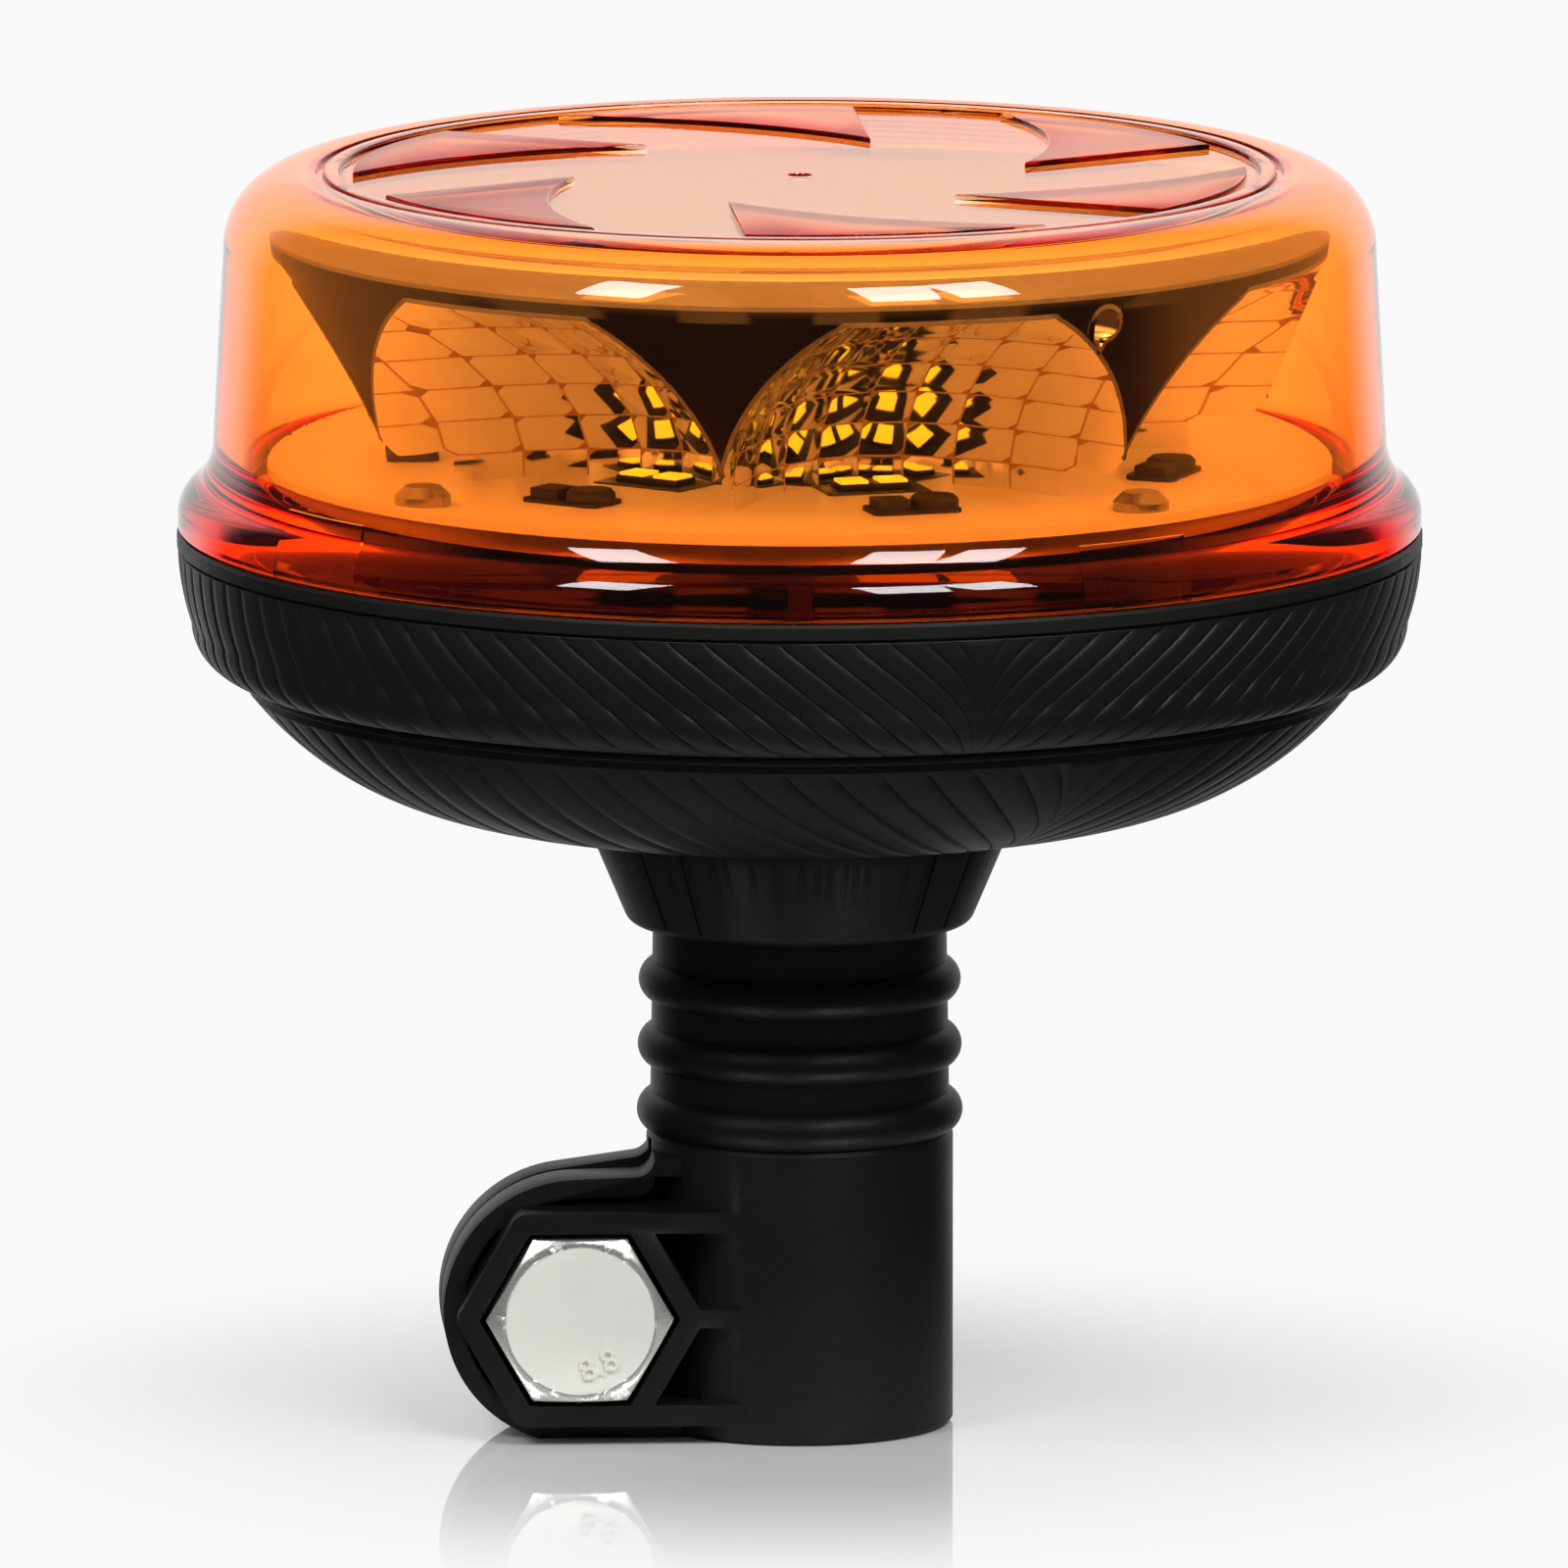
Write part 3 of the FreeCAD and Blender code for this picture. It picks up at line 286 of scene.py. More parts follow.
def finishPiece(shape, name, body, nodes, material, sharpAngle=32.0):
    piece = asObject(shape, name)
    mesh = piece.data
    mesh.materials.append(material)
    mesh.shade_smooth()
    mesh.set_sharp_from_angle(angle=math.radians(sharpAngle))
    if body:
        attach(piece, body)
    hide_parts(*nodes)
    print("made", name, len(mesh.polygons), "faces")
    return piece


def arcPoints(start, middle, end, count):
    # Points on the circle through three (radius, height) points, without the start.
    a, b, c = Vector(start), Vector(middle), Vector(end)
    ab, ac = b - a, c - a
    twice = 2 * (ab.x * ac.y - ab.y * ac.x)
    centre = a + Vector((ac.y * ab.length_squared - ab.y * ac.length_squared,
                         ab.x * ac.length_squared - ac.x * ab.length_squared)) / twice
    first = math.atan2((a - centre).y, (a - centre).x)
    sweep = math.atan2((c - centre).y, (c - centre).x) - first
    handed = 1 if twice > 0 else -1
    sweep = sweep % (2 * math.pi * handed)
    radius = (a - centre).length
    points = []
    for step in range(1, count + 1):
        turn = first + sweep * step / count
        points.append((centre.x + radius * math.cos(turn), centre.y + radius * math.sin(turn)))
    return points


def rounded(corners, steps=5):
    # Corners are (radius, height) or (radius, height, fillet).
    points = []
    for index, corner in enumerate(corners):
        here = Vector(corner[:2])
        if len(corner) == 2:
            points.append(tuple(here))
            continue
        before = Vector(corners[index - 1][:2]) - here
        after = Vector(corners[(index + 1) % len(corners)][:2]) - here
        half = before.angle(after) / 2
        reach = min(corner[2] / math.tan(half), 0.49 * before.length, 0.49 * after.length)
        radius = reach * math.tan(half)
        start = here + before.normalized() * reach
        end = here + after.normalized() * reach
        bisector = (before.normalized() + after.normalized()).normalized()
        crown = here + bisector * (radius / math.sin(half) - radius)
        points.append(tuple(start))
        points += arcPoints(start, crown, end, steps)
    return points


def finer(points, longest):
    # Splits long runs of an outline so that the surface can bend along them.
    result = [points[0]]
    for start, end in zip(points, points[1:]):
        parts = max(1, math.ceil((Vector(end) - Vector(start)).length / longest))
        result += [tuple(Vector(start).lerp(Vector(end), part / parts)) for part in range(1, parts + 1)]
    return result


def outwards(shape):
    bmesh.ops.recalc_face_normals(shape, faces=shape.faces)
    return shape


def spun(outline, steps, closed=True):
    # Turns a (radius, height) outline about the upright axis.
    shape = bmesh.new()
    points = [shape.verts.new((radius * mm, 0, height * mm)) for radius, height in outline]
    edges = [shape.edges.new(pair) for pair in zip(points, points[1:])]
    if closed:
        edges.append(shape.edges.new((points[-1], points[0])))
    bmesh.ops.spin(shape, geom=points + edges, cent=(0, 0, 0), axis=(0, 0, 1), angle=2 * math.pi,
                   steps=steps, use_merge=True)
    bmesh.ops.remove_doubles(shape, verts=shape.verts, dist=0.0005 * mm)
    onAxis = [edge for edge in shape.edges if not edge.link_faces]
    bmesh.ops.delete(shape, geom=onAxis, context="EDGES")
    return outwards(shape)


def mergedCopy(node):
    shape = bmesh.new()
    shape.from_mesh(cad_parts[node].data)
    bmesh.ops.remove_doubles(shape, verts=shape.verts, dist=0.002 * mm)
    return shape


def turned(shape, degrees, axis="Z"):
    bmesh.ops.rotate(shape, verts=shape.verts, cent=(0, 0, 0),
                     matrix=Matrix.Rotation(math.radians(degrees), 3, axis))
    return shape


def moved(shape, place):
    bmesh.ops.translate(shape, verts=shape.verts, vec=Vector(place) * mm)
    return shape


def bevelled(shape, edges, width):
    bmesh.ops.bevel(shape, geom=edges, offset=width * mm, offset_type="OFFSET", affect="EDGES",
                    segments=2, profile=0.5, material=-1, clamp_overlap=True)


def drawnOut(shape):
    # Doubles an open shape into a solid, and gives the corners of the new side.
    drawn = bmesh.ops.extrude_face_region(shape, geom=shape.faces[:])
    return [item for item in drawn["geom"] if isinstance(item, bmesh.types.BMVert)]


def softened(node, width, angle=30.0):
    # A copy of a machined-sharp node with its edges broken.
    shape = mergedCopy(node)
    bmesh.ops.dissolve_limit(shape, angle_limit=math.radians(0.3), verts=shape.verts, edges=shape.edges)
    limit = math.radians(angle)
    sharp = [edge for edge in shape.edges if edge.is_manifold and edge.calc_face_angle() > limit]
    bevelled(shape, sharp, width)
    return shape


def takeIn(shape, other):
    # Adds another shape to this one.
    mesh = bpy.data.meshes.new("taken")
    other.to_mesh(mesh)
    other.free()
    shape.from_mesh(mesh)
    bpy.data.meshes.remove(mesh)


def carved(shape, steps):
    # Adds closed shapes to a closed shape or takes them away, exactly.
    base = asObject(shape, "base")
    for way, other in steps:
        tool = asObject(other, "tool")
        cut = base.modifiers.new("cut", "BOOLEAN")
        cut.operation = way
        cut.solver = "EXACT"
        cut.object = tool
        done = asMesh(base)
        base.modifiers.clear()
        base.data = done
        bpy.data.objects.remove(tool)
    result = bmesh.new()
    result.from_mesh(base.data)
    bmesh.ops.remove_doubles(result, verts=result.verts, dist=0.001 * mm)
    bpy.data.objects.remove(base)
    return result


def onOutline(vert, outline, nearness):
    here = Vector((math.hypot(vert.co.x, vert.co.y), vert.co.z)) / mm
    for start, end in zip(outline, outline[1:]):
        a, b = Vector(start), Vector(end)
        share = max(0.0, min(1.0, (here - a).dot(b - a) / (b - a).length_squared))
        if (here - a.lerp(b, share)).length < nearness:
            return True
    return False


def pick(settings, names):
    return [settings[name] for name in names.split()]


def evenTurns(first, count):
    return [first + 360.0 / count * index for index in range(count)]


def smoothStep(low, high, value):
    share = max(0.0, min(1.0, (value - low) / (high - low)))
    return share * share * (3 - 2 * share)


def veeRun(away, travel, soft):
    # Where a groove that runs towards the V line has got to, and how much of its depth is left.
    gap = (abs(away) - travel) / soft
    return math.copysign(soft * math.log1p(math.exp(gap)), away), 1 / (1 + math.exp(-gap))


def grooveSkin(outline, cut, place):
    # Open turned skin with V-grooves. place gives a groove's run and depth share at a radius and height.
    phases = cut["phases"]
    columns = cut["count"] * len(phases)
    shape = spun(outline, columns, closed=False)
    shape.normal_update()
    pitch = 360.0 / cut["count"]
    moves = []
    for vert in shape.verts:
        radius, height = math.hypot(vert.co.x, vert.co.y) / mm, vert.co.z / mm
        angle = math.degrees(math.atan2(vert.co.y, vert.co.x)) % 360.0
        number, phase = divmod(round(angle / 360.0 * columns) % columns, len(phases))
        away = ((number + phases[phase]) * pitch - cut["veeAngle"] + 90.0) % 180.0 - 90.0
        run, share = place(away, radius, height)
        fade, left = veeRun(away, run, cut["veeSoft"])
        turn = math.radians((number + phases[phase]) * pitch + fade - away)
        outward = Vector((vert.co.x, vert.co.y, 0)).normalized()
        normal = vert.normal if vert.normal.dot(outward) > 0 or vert.normal.z < 0 else -vert.normal
        depth = cut["depth"] * share * left * cut["section"][phase]
        radius -= depth * normal.dot(outward)
        spot = Vector((radius * math.cos(turn), radius * math.sin(turn), height - depth * normal.z))
        moves.append((vert, spot * mm))
    for vert, spot in moves:
        vert.co = spot
    bmesh.ops.remove_doubles(shape, verts=shape.verts, dist=cut["weld"] * mm)
    return shape


def reskinned(node, outline, skin, nearness=0.02):
    # Takes a node's turned outer faces away and sews the grooved skin in their place.
    shape = mergedCopy(node)
    onSkin = {vert: onOutline(vert, outline, nearness) for vert in shape.verts}
    old = [face for face in shape.faces if all(onSkin[vert] for vert in face.verts)]
    bmesh.ops.delete(shape, geom=old, context="FACES")
    takeIn(shape, skin)
    loose = [edge for edge in shape.edges if edge.is_boundary]
    middle = (outline[0][1] + outline[-1][1]) / 2 * mm
    for low in (True, False):
        ends = [edge for edge in loose if (edge.verts[0].co.z < middle) == low]
        bmesh.ops.bridge_loops(shape, edges=ends)
    return outwards(shape)


# Base rim: a tall band with fine slanted grooves that meet in a V near the front, under a smooth lip

rim = {
    "bottom": 79.934,
    "bottomRadius": 58.3,
    "corner": 5.2,
    "sideRadius": 63.5,
    "bandTop": 92.73,
    "bandRadius": 64.9,
    "bulge": 0.3,
    "count": 106,
    "phases": (0.0, 0.06, 0.3, 0.5, 0.7, 0.94),
    "section": (1.0, 0.0, 0.0, 0.0, 0.0, 0.0),   # share of the depth at each phase
    "depth": 0.2,
    "slant": 14.0,        # degrees a groove runs round from top to bottom
    "slantFade": (35.0, 88.0),
    "veeAngle": -76.0,
    "veeSoft": 2.0,
    "longest": 0.7,
    "weld": 0.02,
    "grooveFoot": (0.2, 1.2),       # the grooves fade in from the bottom edge
    "grooveTop": (0.1, 0.5),        # and out below the lip
    "tuck": (0.05, 0.002, 0.04),    # the skin ends this far inside the band's own edges
    "cornerSteps": 20,
    "sideSteps": 12,
    "sharp": 14.0,
}


def makeRim():
    low, top, corner, foot = pick(rim, "bottom bandTop corner bottomRadius")
    diagonal = corner * math.sqrt(0.5)
    side = (rim["sideRadius"], low + corner)
    edge = (rim["bandRadius"], top)
    outline = [(foot, low)]
    outline += arcPoints(outline[0], (foot + diagonal, low + corner - diagonal), side, rim["cornerSteps"])
    middle = ((side[0] + edge[0]) / 2 + rim["bulge"], (side[1] + edge[1]) / 2)
    outline += arcPoints(side, middle, edge, rim["sideSteps"])

    def place(away, radius, height):
        run = rim["slant"] * (1 - smoothStep(*rim["slantFade"], abs(away))) * (top - height) / (top - low)
        share = smoothStep(*rim["grooveFoot"], radius - foot) * smoothStep(*rim["grooveTop"], top - height)
        return run, share

    inwards, up, down = rim["tuck"]
    inside = [(foot + inwards, low + up)] + outline[1:-1] + [(edge[0], top - down)]
    skin = grooveSkin(finer(inside, rim["longest"]), rim, place)
    finishPiece(reskinned("base_rim", outline, skin), "base_rim_grooved", "head", ["base_rim"],
                mouldedAbs, rim["sharp"])


makeRim()


# Base bowl: a shallow dish with wider grooves that fan out from the collar, and a bead under the rim

bowl = {
    "spigotRadius": 17.25,
    "collarRadius": 22.3,
    "base": 63.6,
    "slope": 8.4,
    "coneRadius": 36.0,
    "round": 33.9,
    "wallRadius": 57.6,
    "count": 72,
    "phases": (0.0, 0.07, 0.34, 0.66, 0.93),
    "section": (1.0, 0.0, 0.0, 0.0, 0.0),
    "depth": 0.2,
    "slant": 1.0,          # degrees a groove runs round for each millimetre towards the middle
    "slantMost": 24.0,
    "slantFade": (35.0, 88.0),
    "grooveStart": (23.0, 26.0),
    "veeAngle": -61.0,
    "veeSoft": 2.5,
    "longest": 1.0,
    "weld": 0.02,
    "beadLow": 78.95,
    "beadTop": 79.75,
    "beadOut": 0.6,
    "beadRoot": 0.2,
    "beadSteps": 8,
    "grooveTop": (0.05, 0.4),
    "tuck": (0.05, 0.007, 0.03),
    "roundSteps": 28,
    "steps": 288,
    "sharp": 14.0,
}


def makeBowl():
    slope = math.radians(bowl["slope"])
    lowest = bowl["base"] - (bowl["collarRadius"] - bowl["spigotRadius"]) * math.tan(slope)
    coneTop = bowl["base"] + (bowl["coneRadius"] - bowl["collarRadius"]) * math.tan(slope)
    centre = Vector((bowl["coneRadius"] - bowl["round"] * math.sin(slope),
                     coneTop + bowl["round"] * math.cos(slope)))
    reach = math.asin((bowl["wallRadius"] - centre.x) / bowl["round"])
    halfway, edge = [centre + bowl["round"] * Vector((math.sin(turn), -math.cos(turn)))
                     for turn in ((slope + reach) / 2, reach)]
    outline = [(bowl["spigotRadius"], lowest), (bowl["coneRadius"], coneTop)]
    outline += arcPoints(outline[-1], halfway, edge, bowl["roundSteps"])

    def place(away, radius, height):
        run = min(bowl["slant"] * (bowl["wallRadius"] - radius), bowl["slantMost"])
        share = smoothStep(*bowl["grooveStart"], radius) * smoothStep(*bowl["grooveTop"], edge.y - height)
        return run * (1 - smoothStep(*bowl["slantFade"], abs(away))), share

    inwards, up, down = bowl["tuck"]
    inside = [(bowl["spigotRadius"] + inwards, lowest + up)] + outline[1:-1] + [(edge.x, edge.y - down)]
    skin = grooveSkin(finer(inside, bowl["longest"]), bowl, place)
    shape = reskinned("base_bowl", outline, skin)
    wall, low, high = bowl["wallRadius"] - bowl["beadRoot"], bowl["beadLow"], bowl["beadTop"]
    crown = (wall + bowl["beadRoot"] + bowl["beadOut"], (low + high) / 2)
    bead = [(wall, low)] + arcPoints((wall, low), crown, (wall, high), bowl["beadSteps"])
    takeIn(shape, spun(bead, bowl["steps"]))
    finishPiece(shape, "base_bowl_grooved", "head", ["base_bowl"], dullAbs, bowl["sharp"])


makeBowl()


# Lens: amber drum with a thick flange, a ring ridge and a six-bladed relief on top

lens = {
    "bottom": 94.93,
    "top": 132.43,
    "flangeRadius": 64.9,
    "wallRadius": 60.1,
    "draft": 1.1,
    "shoulder": 8.0,
    "shoulderSteps": 40,
    "wall": 2.6,
    "skirtRadius": 59.9,
    "skirtWidth": 1.9,
    "skirtDepth": 4.2,
    "ringRadius": 50.4,
    "ringWidth": 3.2,
    "ringGroove": 0.8,
    "relief": 0.6,
    "edge": 0.15,
    "flat": 0.5,         # level strip beside each rounded edge
    "steps": 236,
    "blades": 6,
    "bladeFirst": 20.0,
    "bladeAngle": 40.0,
    "bladeLean": 11.0,
    "bladeTip": 24.0,
    "bladeOuter": 46.6,
    "bladeEdge": 0.16,
    "dimple": 1.3,
    "dimpleDepth": 0.9,
    "tabFirst": -58.0,
    "tabs": 4,
    "tabAngle": 12.5,
    "tabHeight": 5.4,
    "tabDepth": 0.6,
    "tabClear": (2.0, 1.0),     # the pocket's cutter passes the wall inwards and down
    "tabSteps": 12,
    "flangeLip": 1.24,
    "belly": (0.65, 3.61),      # points of the flange, inwards of its edge and up
    "brow": (2.0, 4.85),
    "waist": (0.55, 6.65),      # outwards of the wall's foot and up
    "wallFoot": 9.5,
    "skirtEdge": 0.2,
    "flangeEdge": 0.35,
    "arcSteps": 8,
    "edgeSteps": 3,
    "dimpleShape": ((0.8, 0.55), (0.4, 0.92), (0.0, 1.0)),   # shares of its radius and depth
    "bladeDepth": 1.5,
    "bladeSteps": 12,
    "hollow": (2.0, 0.4),       # middle of the hollow edge: outwards, and share of the angle
    "hollowSteps": 16,
    "levelNear": 0.02,
    "levelNormal": 0.99,
    "sharp": 30.0,
}


def lensOutline():
    low, top, edge, wall = pick(lens, "bottom top edge wallRadius")
    plateau, ceiling, base = top - lens["relief"], top - lens["wall"], top - lens["shoulder"]
    foot, turn = wall + lens["draft"], wall - lens["shoulder"]
    ring, skirt, flange = pick(lens, "ringRadius skirtRadius flangeRadius")
    groove, inside = ring - lens["ringGroove"], ring - lens["ringWidth"] + lens["ringGroove"]
    hem, lip = low - lens["skirtDepth"], low + lens["flangeLip"]
    outline = rounded([(skirt - lens["skirtWidth"], hem, lens["skirtEdge"]),
                       (skirt, hem, lens["skirtEdge"]), (skirt, low), (flange, low, lens["flangeEdge"]),
                       (flange, lip)])[:-1]
    outline.append((flange, lip))
    outline += arcPoints(outline[-1], (flange - lens["belly"][0], low + lens["belly"][1]),
                         (flange - lens["brow"][0], low + lens["brow"][1]), lens["arcSteps"])
    outline += arcPoints(outline[-1], (foot + lens["waist"][0], low + lens["waist"][1]),
                         (foot, low + lens["wallFoot"]), lens["arcSteps"])
    outline.append((wall, base))
    rise = lens["shoulder"] * math.sqrt(0.5)
    outline += arcPoints(outline[-1], (turn + rise, base + rise), (turn, top), lens["shoulderSteps"])
    outline += rounded([(turn, top), (ring, top, edge), (ring, plateau, edge), (groove, plateau, edge),
                        (groove, top, edge), (inside, top, edge), (inside, plateau, edge),
                        (inside - lens["flat"], plateau)], lens["edgeSteps"])[1:]
    outline += [(lens["dimple"] + lens["flat"], plateau), (lens["dimple"], plateau)]
    outline += [(lens["dimple"] * out, plateau - lens["dimpleDepth"] * down)
                for out, down in lens["dimpleShape"]]
    outline += [(0.0, ceiling), (turn, ceiling)]
    innerRound = lens["shoulder"] - lens["wall"]
    rise = innerRound * math.sqrt(0.5)
    outline += arcPoints(outline[-1], (turn + rise, base + rise), (turn + innerRound, base),
                         lens["shoulderSteps"])
    return outline


def bladeShape(turn):
    # A straight edge, an outer arc and a hollow edge back to the tip, with the top edges broken.
    outer, tip, steps = pick(lens, "bladeOuter bladeTip bladeSteps")

    def polar(radius, angle):
        way = math.radians(angle + turn)
        return radius * math.cos(way), radius * math.sin(way)

    hollow = polar((outer + 2 * tip) / 3 + lens["hollow"][0], lens["bladeAngle"] * lens["hollow"][1])
    corners = [polar(tip, -lens["bladeLean"])]
    corners += [polar(outer, lens["bladeAngle"] * step / steps) for step in range(steps + 1)]
    corners += arcPoints(corners[-1], hollow, corners[0], lens["hollowSteps"])[:-1]
    foot = (lens["top"] - lens["bladeDepth"]) * mm
    shape = bmesh.new()
    shape.faces.new([shape.verts.new((x * mm, y * mm, foot)) for x, y in corners])
    bmesh.ops.translate(shape, verts=drawnOut(shape), vec=(0, 0, lens["bladeDepth"] * mm))
    outwards(shape)
    level = (lens["top"] - lens["levelNear"]) * mm
    bevelled(shape, [edge for edge in shape.edges if all(vert.co.z > level for vert in edge.verts)],
             lens["bladeEdge"])
    return shape


def tabPocket(turn):
    # Solid that hollows the inner wall behind one lug.
    inner = lens["skirtRadius"] - lens["skirtWidth"]
    near, far = inner - lens["tabClear"][0], inner + lens["tabDepth"]
    low = lens["bottom"] - lens["skirtDepth"] - lens["tabClear"][1]
    high = lens["bottom"] + lens["tabHeight"]
    shape = bmesh.new()
    corners = [(near, low), (far, low), (far, high), (near, high)]
    face = shape.faces.new([shape.verts.new((x * mm, 0, z * mm)) for x, z in corners])
    turned(shape, turn - lens["tabAngle"] / 2)
    bmesh.ops.spin(shape, geom=[face], cent=(0, 0, 0), axis=(0, 0, 1), angle=math.radians(lens["tabAngle"]),
                   steps=lens["tabSteps"])
    return outwards(shape)


def makeLens():
    steps = [("UNION", bladeShape(turn)) for turn in evenTurns(lens["bladeFirst"], lens["blades"])]
    steps += [("DIFFERENCE", tabPocket(turn)) for turn in evenTurns(lens["tabFirst"], lens["tabs"])]
    shape = carved(spun(lensOutline(), lens["steps"]), steps)
    frost = shape.faces.layers.float.new("frost")
    for face in shape.faces:
        middle = face.calc_center_median() / mm
        level = middle.z > lens["top"] - lens["levelNear"] and face.normal.z > lens["levelNormal"]
        face[frost] = 1.0 if level and middle.xy.length < lens["bladeOuter"] else 0.0
    finishPiece(shape, "lens_drum", "head", ["lens_dome"], lensAmber, lens["sharp"])


makeLens()


# Flexible neck: two lengths, split between its two crossed bends

neck = {
    "foot": 30.6,
    "split": 42.75,
    "footRadius": 16.05,
    "radius": 15.7,
    "taper": 0.34,
    "length": 22.5,
    "bore": 9.5,
    "sleeve": 14.05,
    "sleeveTop": 35.0,
    "ribs": (33.2, 40.1, 47.0),
    "ribHalf": 2.1,
    "ribHeight": 1.4,
    "ribSteps": 12,
    "stem": 14.6,
    "stemFoot": 57.2,
    "flange": 2.5,
    "longest": 1.2,
    "steps": 128,
    "bendLow": (30.9, 42.5),
    "bendHigh": (43.0, 53.0),
}


def neckSide(height):
    return neck["radius"] - neck["taper"] * (height - neck["foot"]) / neck["length"]


def ribPoints(middle):
    low, high = middle - neck["ribHalf"], middle + neck["ribHalf"]
    start, end = [(neckSide(height), height) for height in (low, high)]
    crown = (neckSide(middle) + neck["ribHeight"], middle)
    return [start] + arcPoints(start, crown, end, neck["ribSteps"])


def makeNeck():
    foot, split, bore = pick(neck, "foot split bore")
    low = [(neck["sleeve"], foot), (neck["footRadius"], foot)] + ribPoints(neck["ribs"][0])
    low += ribPoints(neck["ribs"][1]) + [(neckSide(split), split), (bore, split)]
    low += [(bore, neck["sleeveTop"]), (neck["sleeve"], neck["sleeveTop"])]
    outer, top = [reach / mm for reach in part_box("flex_neck")[1].xz]
    flange, stemFoot = top - neck["flange"], neck["stemFoot"]
    high = [(bore, split), (neckSide(split), split)] + ribPoints(neck["ribs"][2])
    high += [(neckSide(stemFoot), stemFoot), (neck["stem"], stemFoot), (neck["stem"], flange)]
    high += [(outer, flange), (outer, top), (bore, top)]
    for name, outline, bodies, bend in (("neck_lower", low, ("clamp", "neck"), neck["bendLow"]),
                                        ("neck_upper", high, ("neck", "head"), neck["bendHigh"])):
        shape = spun(finer(outline + outline[:1], neck["longest"])[:-1], neck["steps"])
        piece = finishPiece(shape, name, None, ["flex_neck"], neckElastomer)
        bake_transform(piece)


makeNeck()


# Leads through the neck, each in two lengths, and the contact spring

wiring = {
    "radius": 1.3,
    "top": 68.65,
    "leads": (
        {"number": 1, "back": 0.0, "foot": 35.8, "slack": 0.0, "slot": "lead_red", "material": redPvc},
        {"number": 2, "back": 8.0, "foot": 35.0, "slack": 0.8, "slot": "lead_black", "material": blackPvc},
    ),
    "slackLow": (35.5, 38.5),    # where a slack lead draws in towards the axis
    "slackHigh": (50.0, 57.0),
    "longest": 0.8,
    "steps": 24,
    "press": 1.6,                # travel of the contact pin
}


def makeLead(lead):
    radius, split = wiring["radius"], neck["split"]
    runs = (("lower", lead["foot"], split, ("clamp", "neck"), (lead["foot"], neck["bendLow"][1])),
            ("upper", split, wiring["top"], ("neck", "head"), neck["bendHigh"]))
    for run, low, high, bodies, bend in runs:
        outline = [(0.0, low), (radius, low), (radius, high), (0.0, high)]
        shape = spun(finer(outline, wiring["longest"]), wiring["steps"], closed=False)
        for vert in shape.verts:
            height = vert.co.z / mm
            drawn = smoothStep(*wiring["slackLow"], height) * (1 - smoothStep(*wiring["slackHigh"], height))
            vert.co.y += (lead["back"] - lead["slack"] * drawn) * mm
        piece = finishPiece(shape, "lead_%d_%s" % (lead["number"], run), None,
                            ["neck_lead_%d" % lead["number"]], lead["material"])
        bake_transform(piece)


def makeSpring():
    spring = finishPiece(mergedCopy("contact_spring"), "contact_spring_wound", "clamp", ["contact_spring"],
                         springSteel)
    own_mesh(spring)


for lead in wiring["leads"]:
    makeLead(lead)
makeSpring()


# Clamp, collar, washer and nut, with their sharp edges broken

softEdges = {"clamp_socket": 0.2, "neck_collar": 0.2, "clamp_washer": 0.2, "clamp_nut": 0.2}


def makeClamp():
    rows = (("clamp_socket", "clamp", "socket_black", glassFilledNylon),
            ("neck_collar", "head", "base_black", dullAbs),
            ("clamp_washer", "clamp_washer", "bolt_zinc", zincPlate),
            ("clamp_nut", "clamp_nut", "bolt_zinc", zincPlate))
    for node, body, slotName, material in rows:
        finishPiece(softened(node, softEdges[node]), node + "_soft", body, [node], material)


makeClamp()


# Clamp bolt: forged head with a strength mark, rolled thread to the tip

bolt = {
    "aside": -23.7,
    "height": 13.4,
    "face": -15.4,
    "seat": -9.0,
    "tip": 26.0,
    "radius": 4.95,
    "core": 4.2,
    "pitch": 1.5,
    "threadStart": -4.0,
    "threadLead": 0.2,
    "runOut": 0.7,
    "root": 0.2,          # the ridge is sunk this far into the core
    "ridge": (0.44, 0.54, 0.98),   # shares of the pitch: up, along the crest, down
    "chamfer": 0.6,
    "overlap": 0.5,       # of head and shank, each side of the seat
    "turnSteps": 32,
    "shankSteps": 48,
    "faceNear": 0.02,
    "edge": 0.2,
    "ring": 0.3,          # raised ring round the struck face
    "ringDepth": 0.12,
    "mark": "8.8",
    "markSize": 3.4,
    "markProud": 0.2,
    "markPlace": (2.3, -5.6),
}


def boltMark():
    letters = bpy.data.curves.new("mark", "FONT")
    letters.body = bolt["mark"]
    letters.size = bolt["markSize"] * mm
    letters.extrude = bolt["markProud"] * mm
    letters.align_x = "CENTER"
    made = bpy.data.objects.new("mark", letters)
    scene.collection.objects.link(made)
    mesh = asMesh(made)
    bpy.data.objects.remove(made)
    shape = bmesh.new()
    shape.from_mesh(mesh)
    bpy.data.meshes.remove(mesh)
    bmesh.ops.remove_doubles(shape, verts=shape.verts, dist=0.001 * mm)
    x, z = bolt["markPlace"]
    turned(shape, math.degrees(math.atan2(x, -z)))
    turned(shape, 90.0, "X")
    return moved(shape, (bolt["aside"] + x, bolt["face"], bolt["height"] + z))


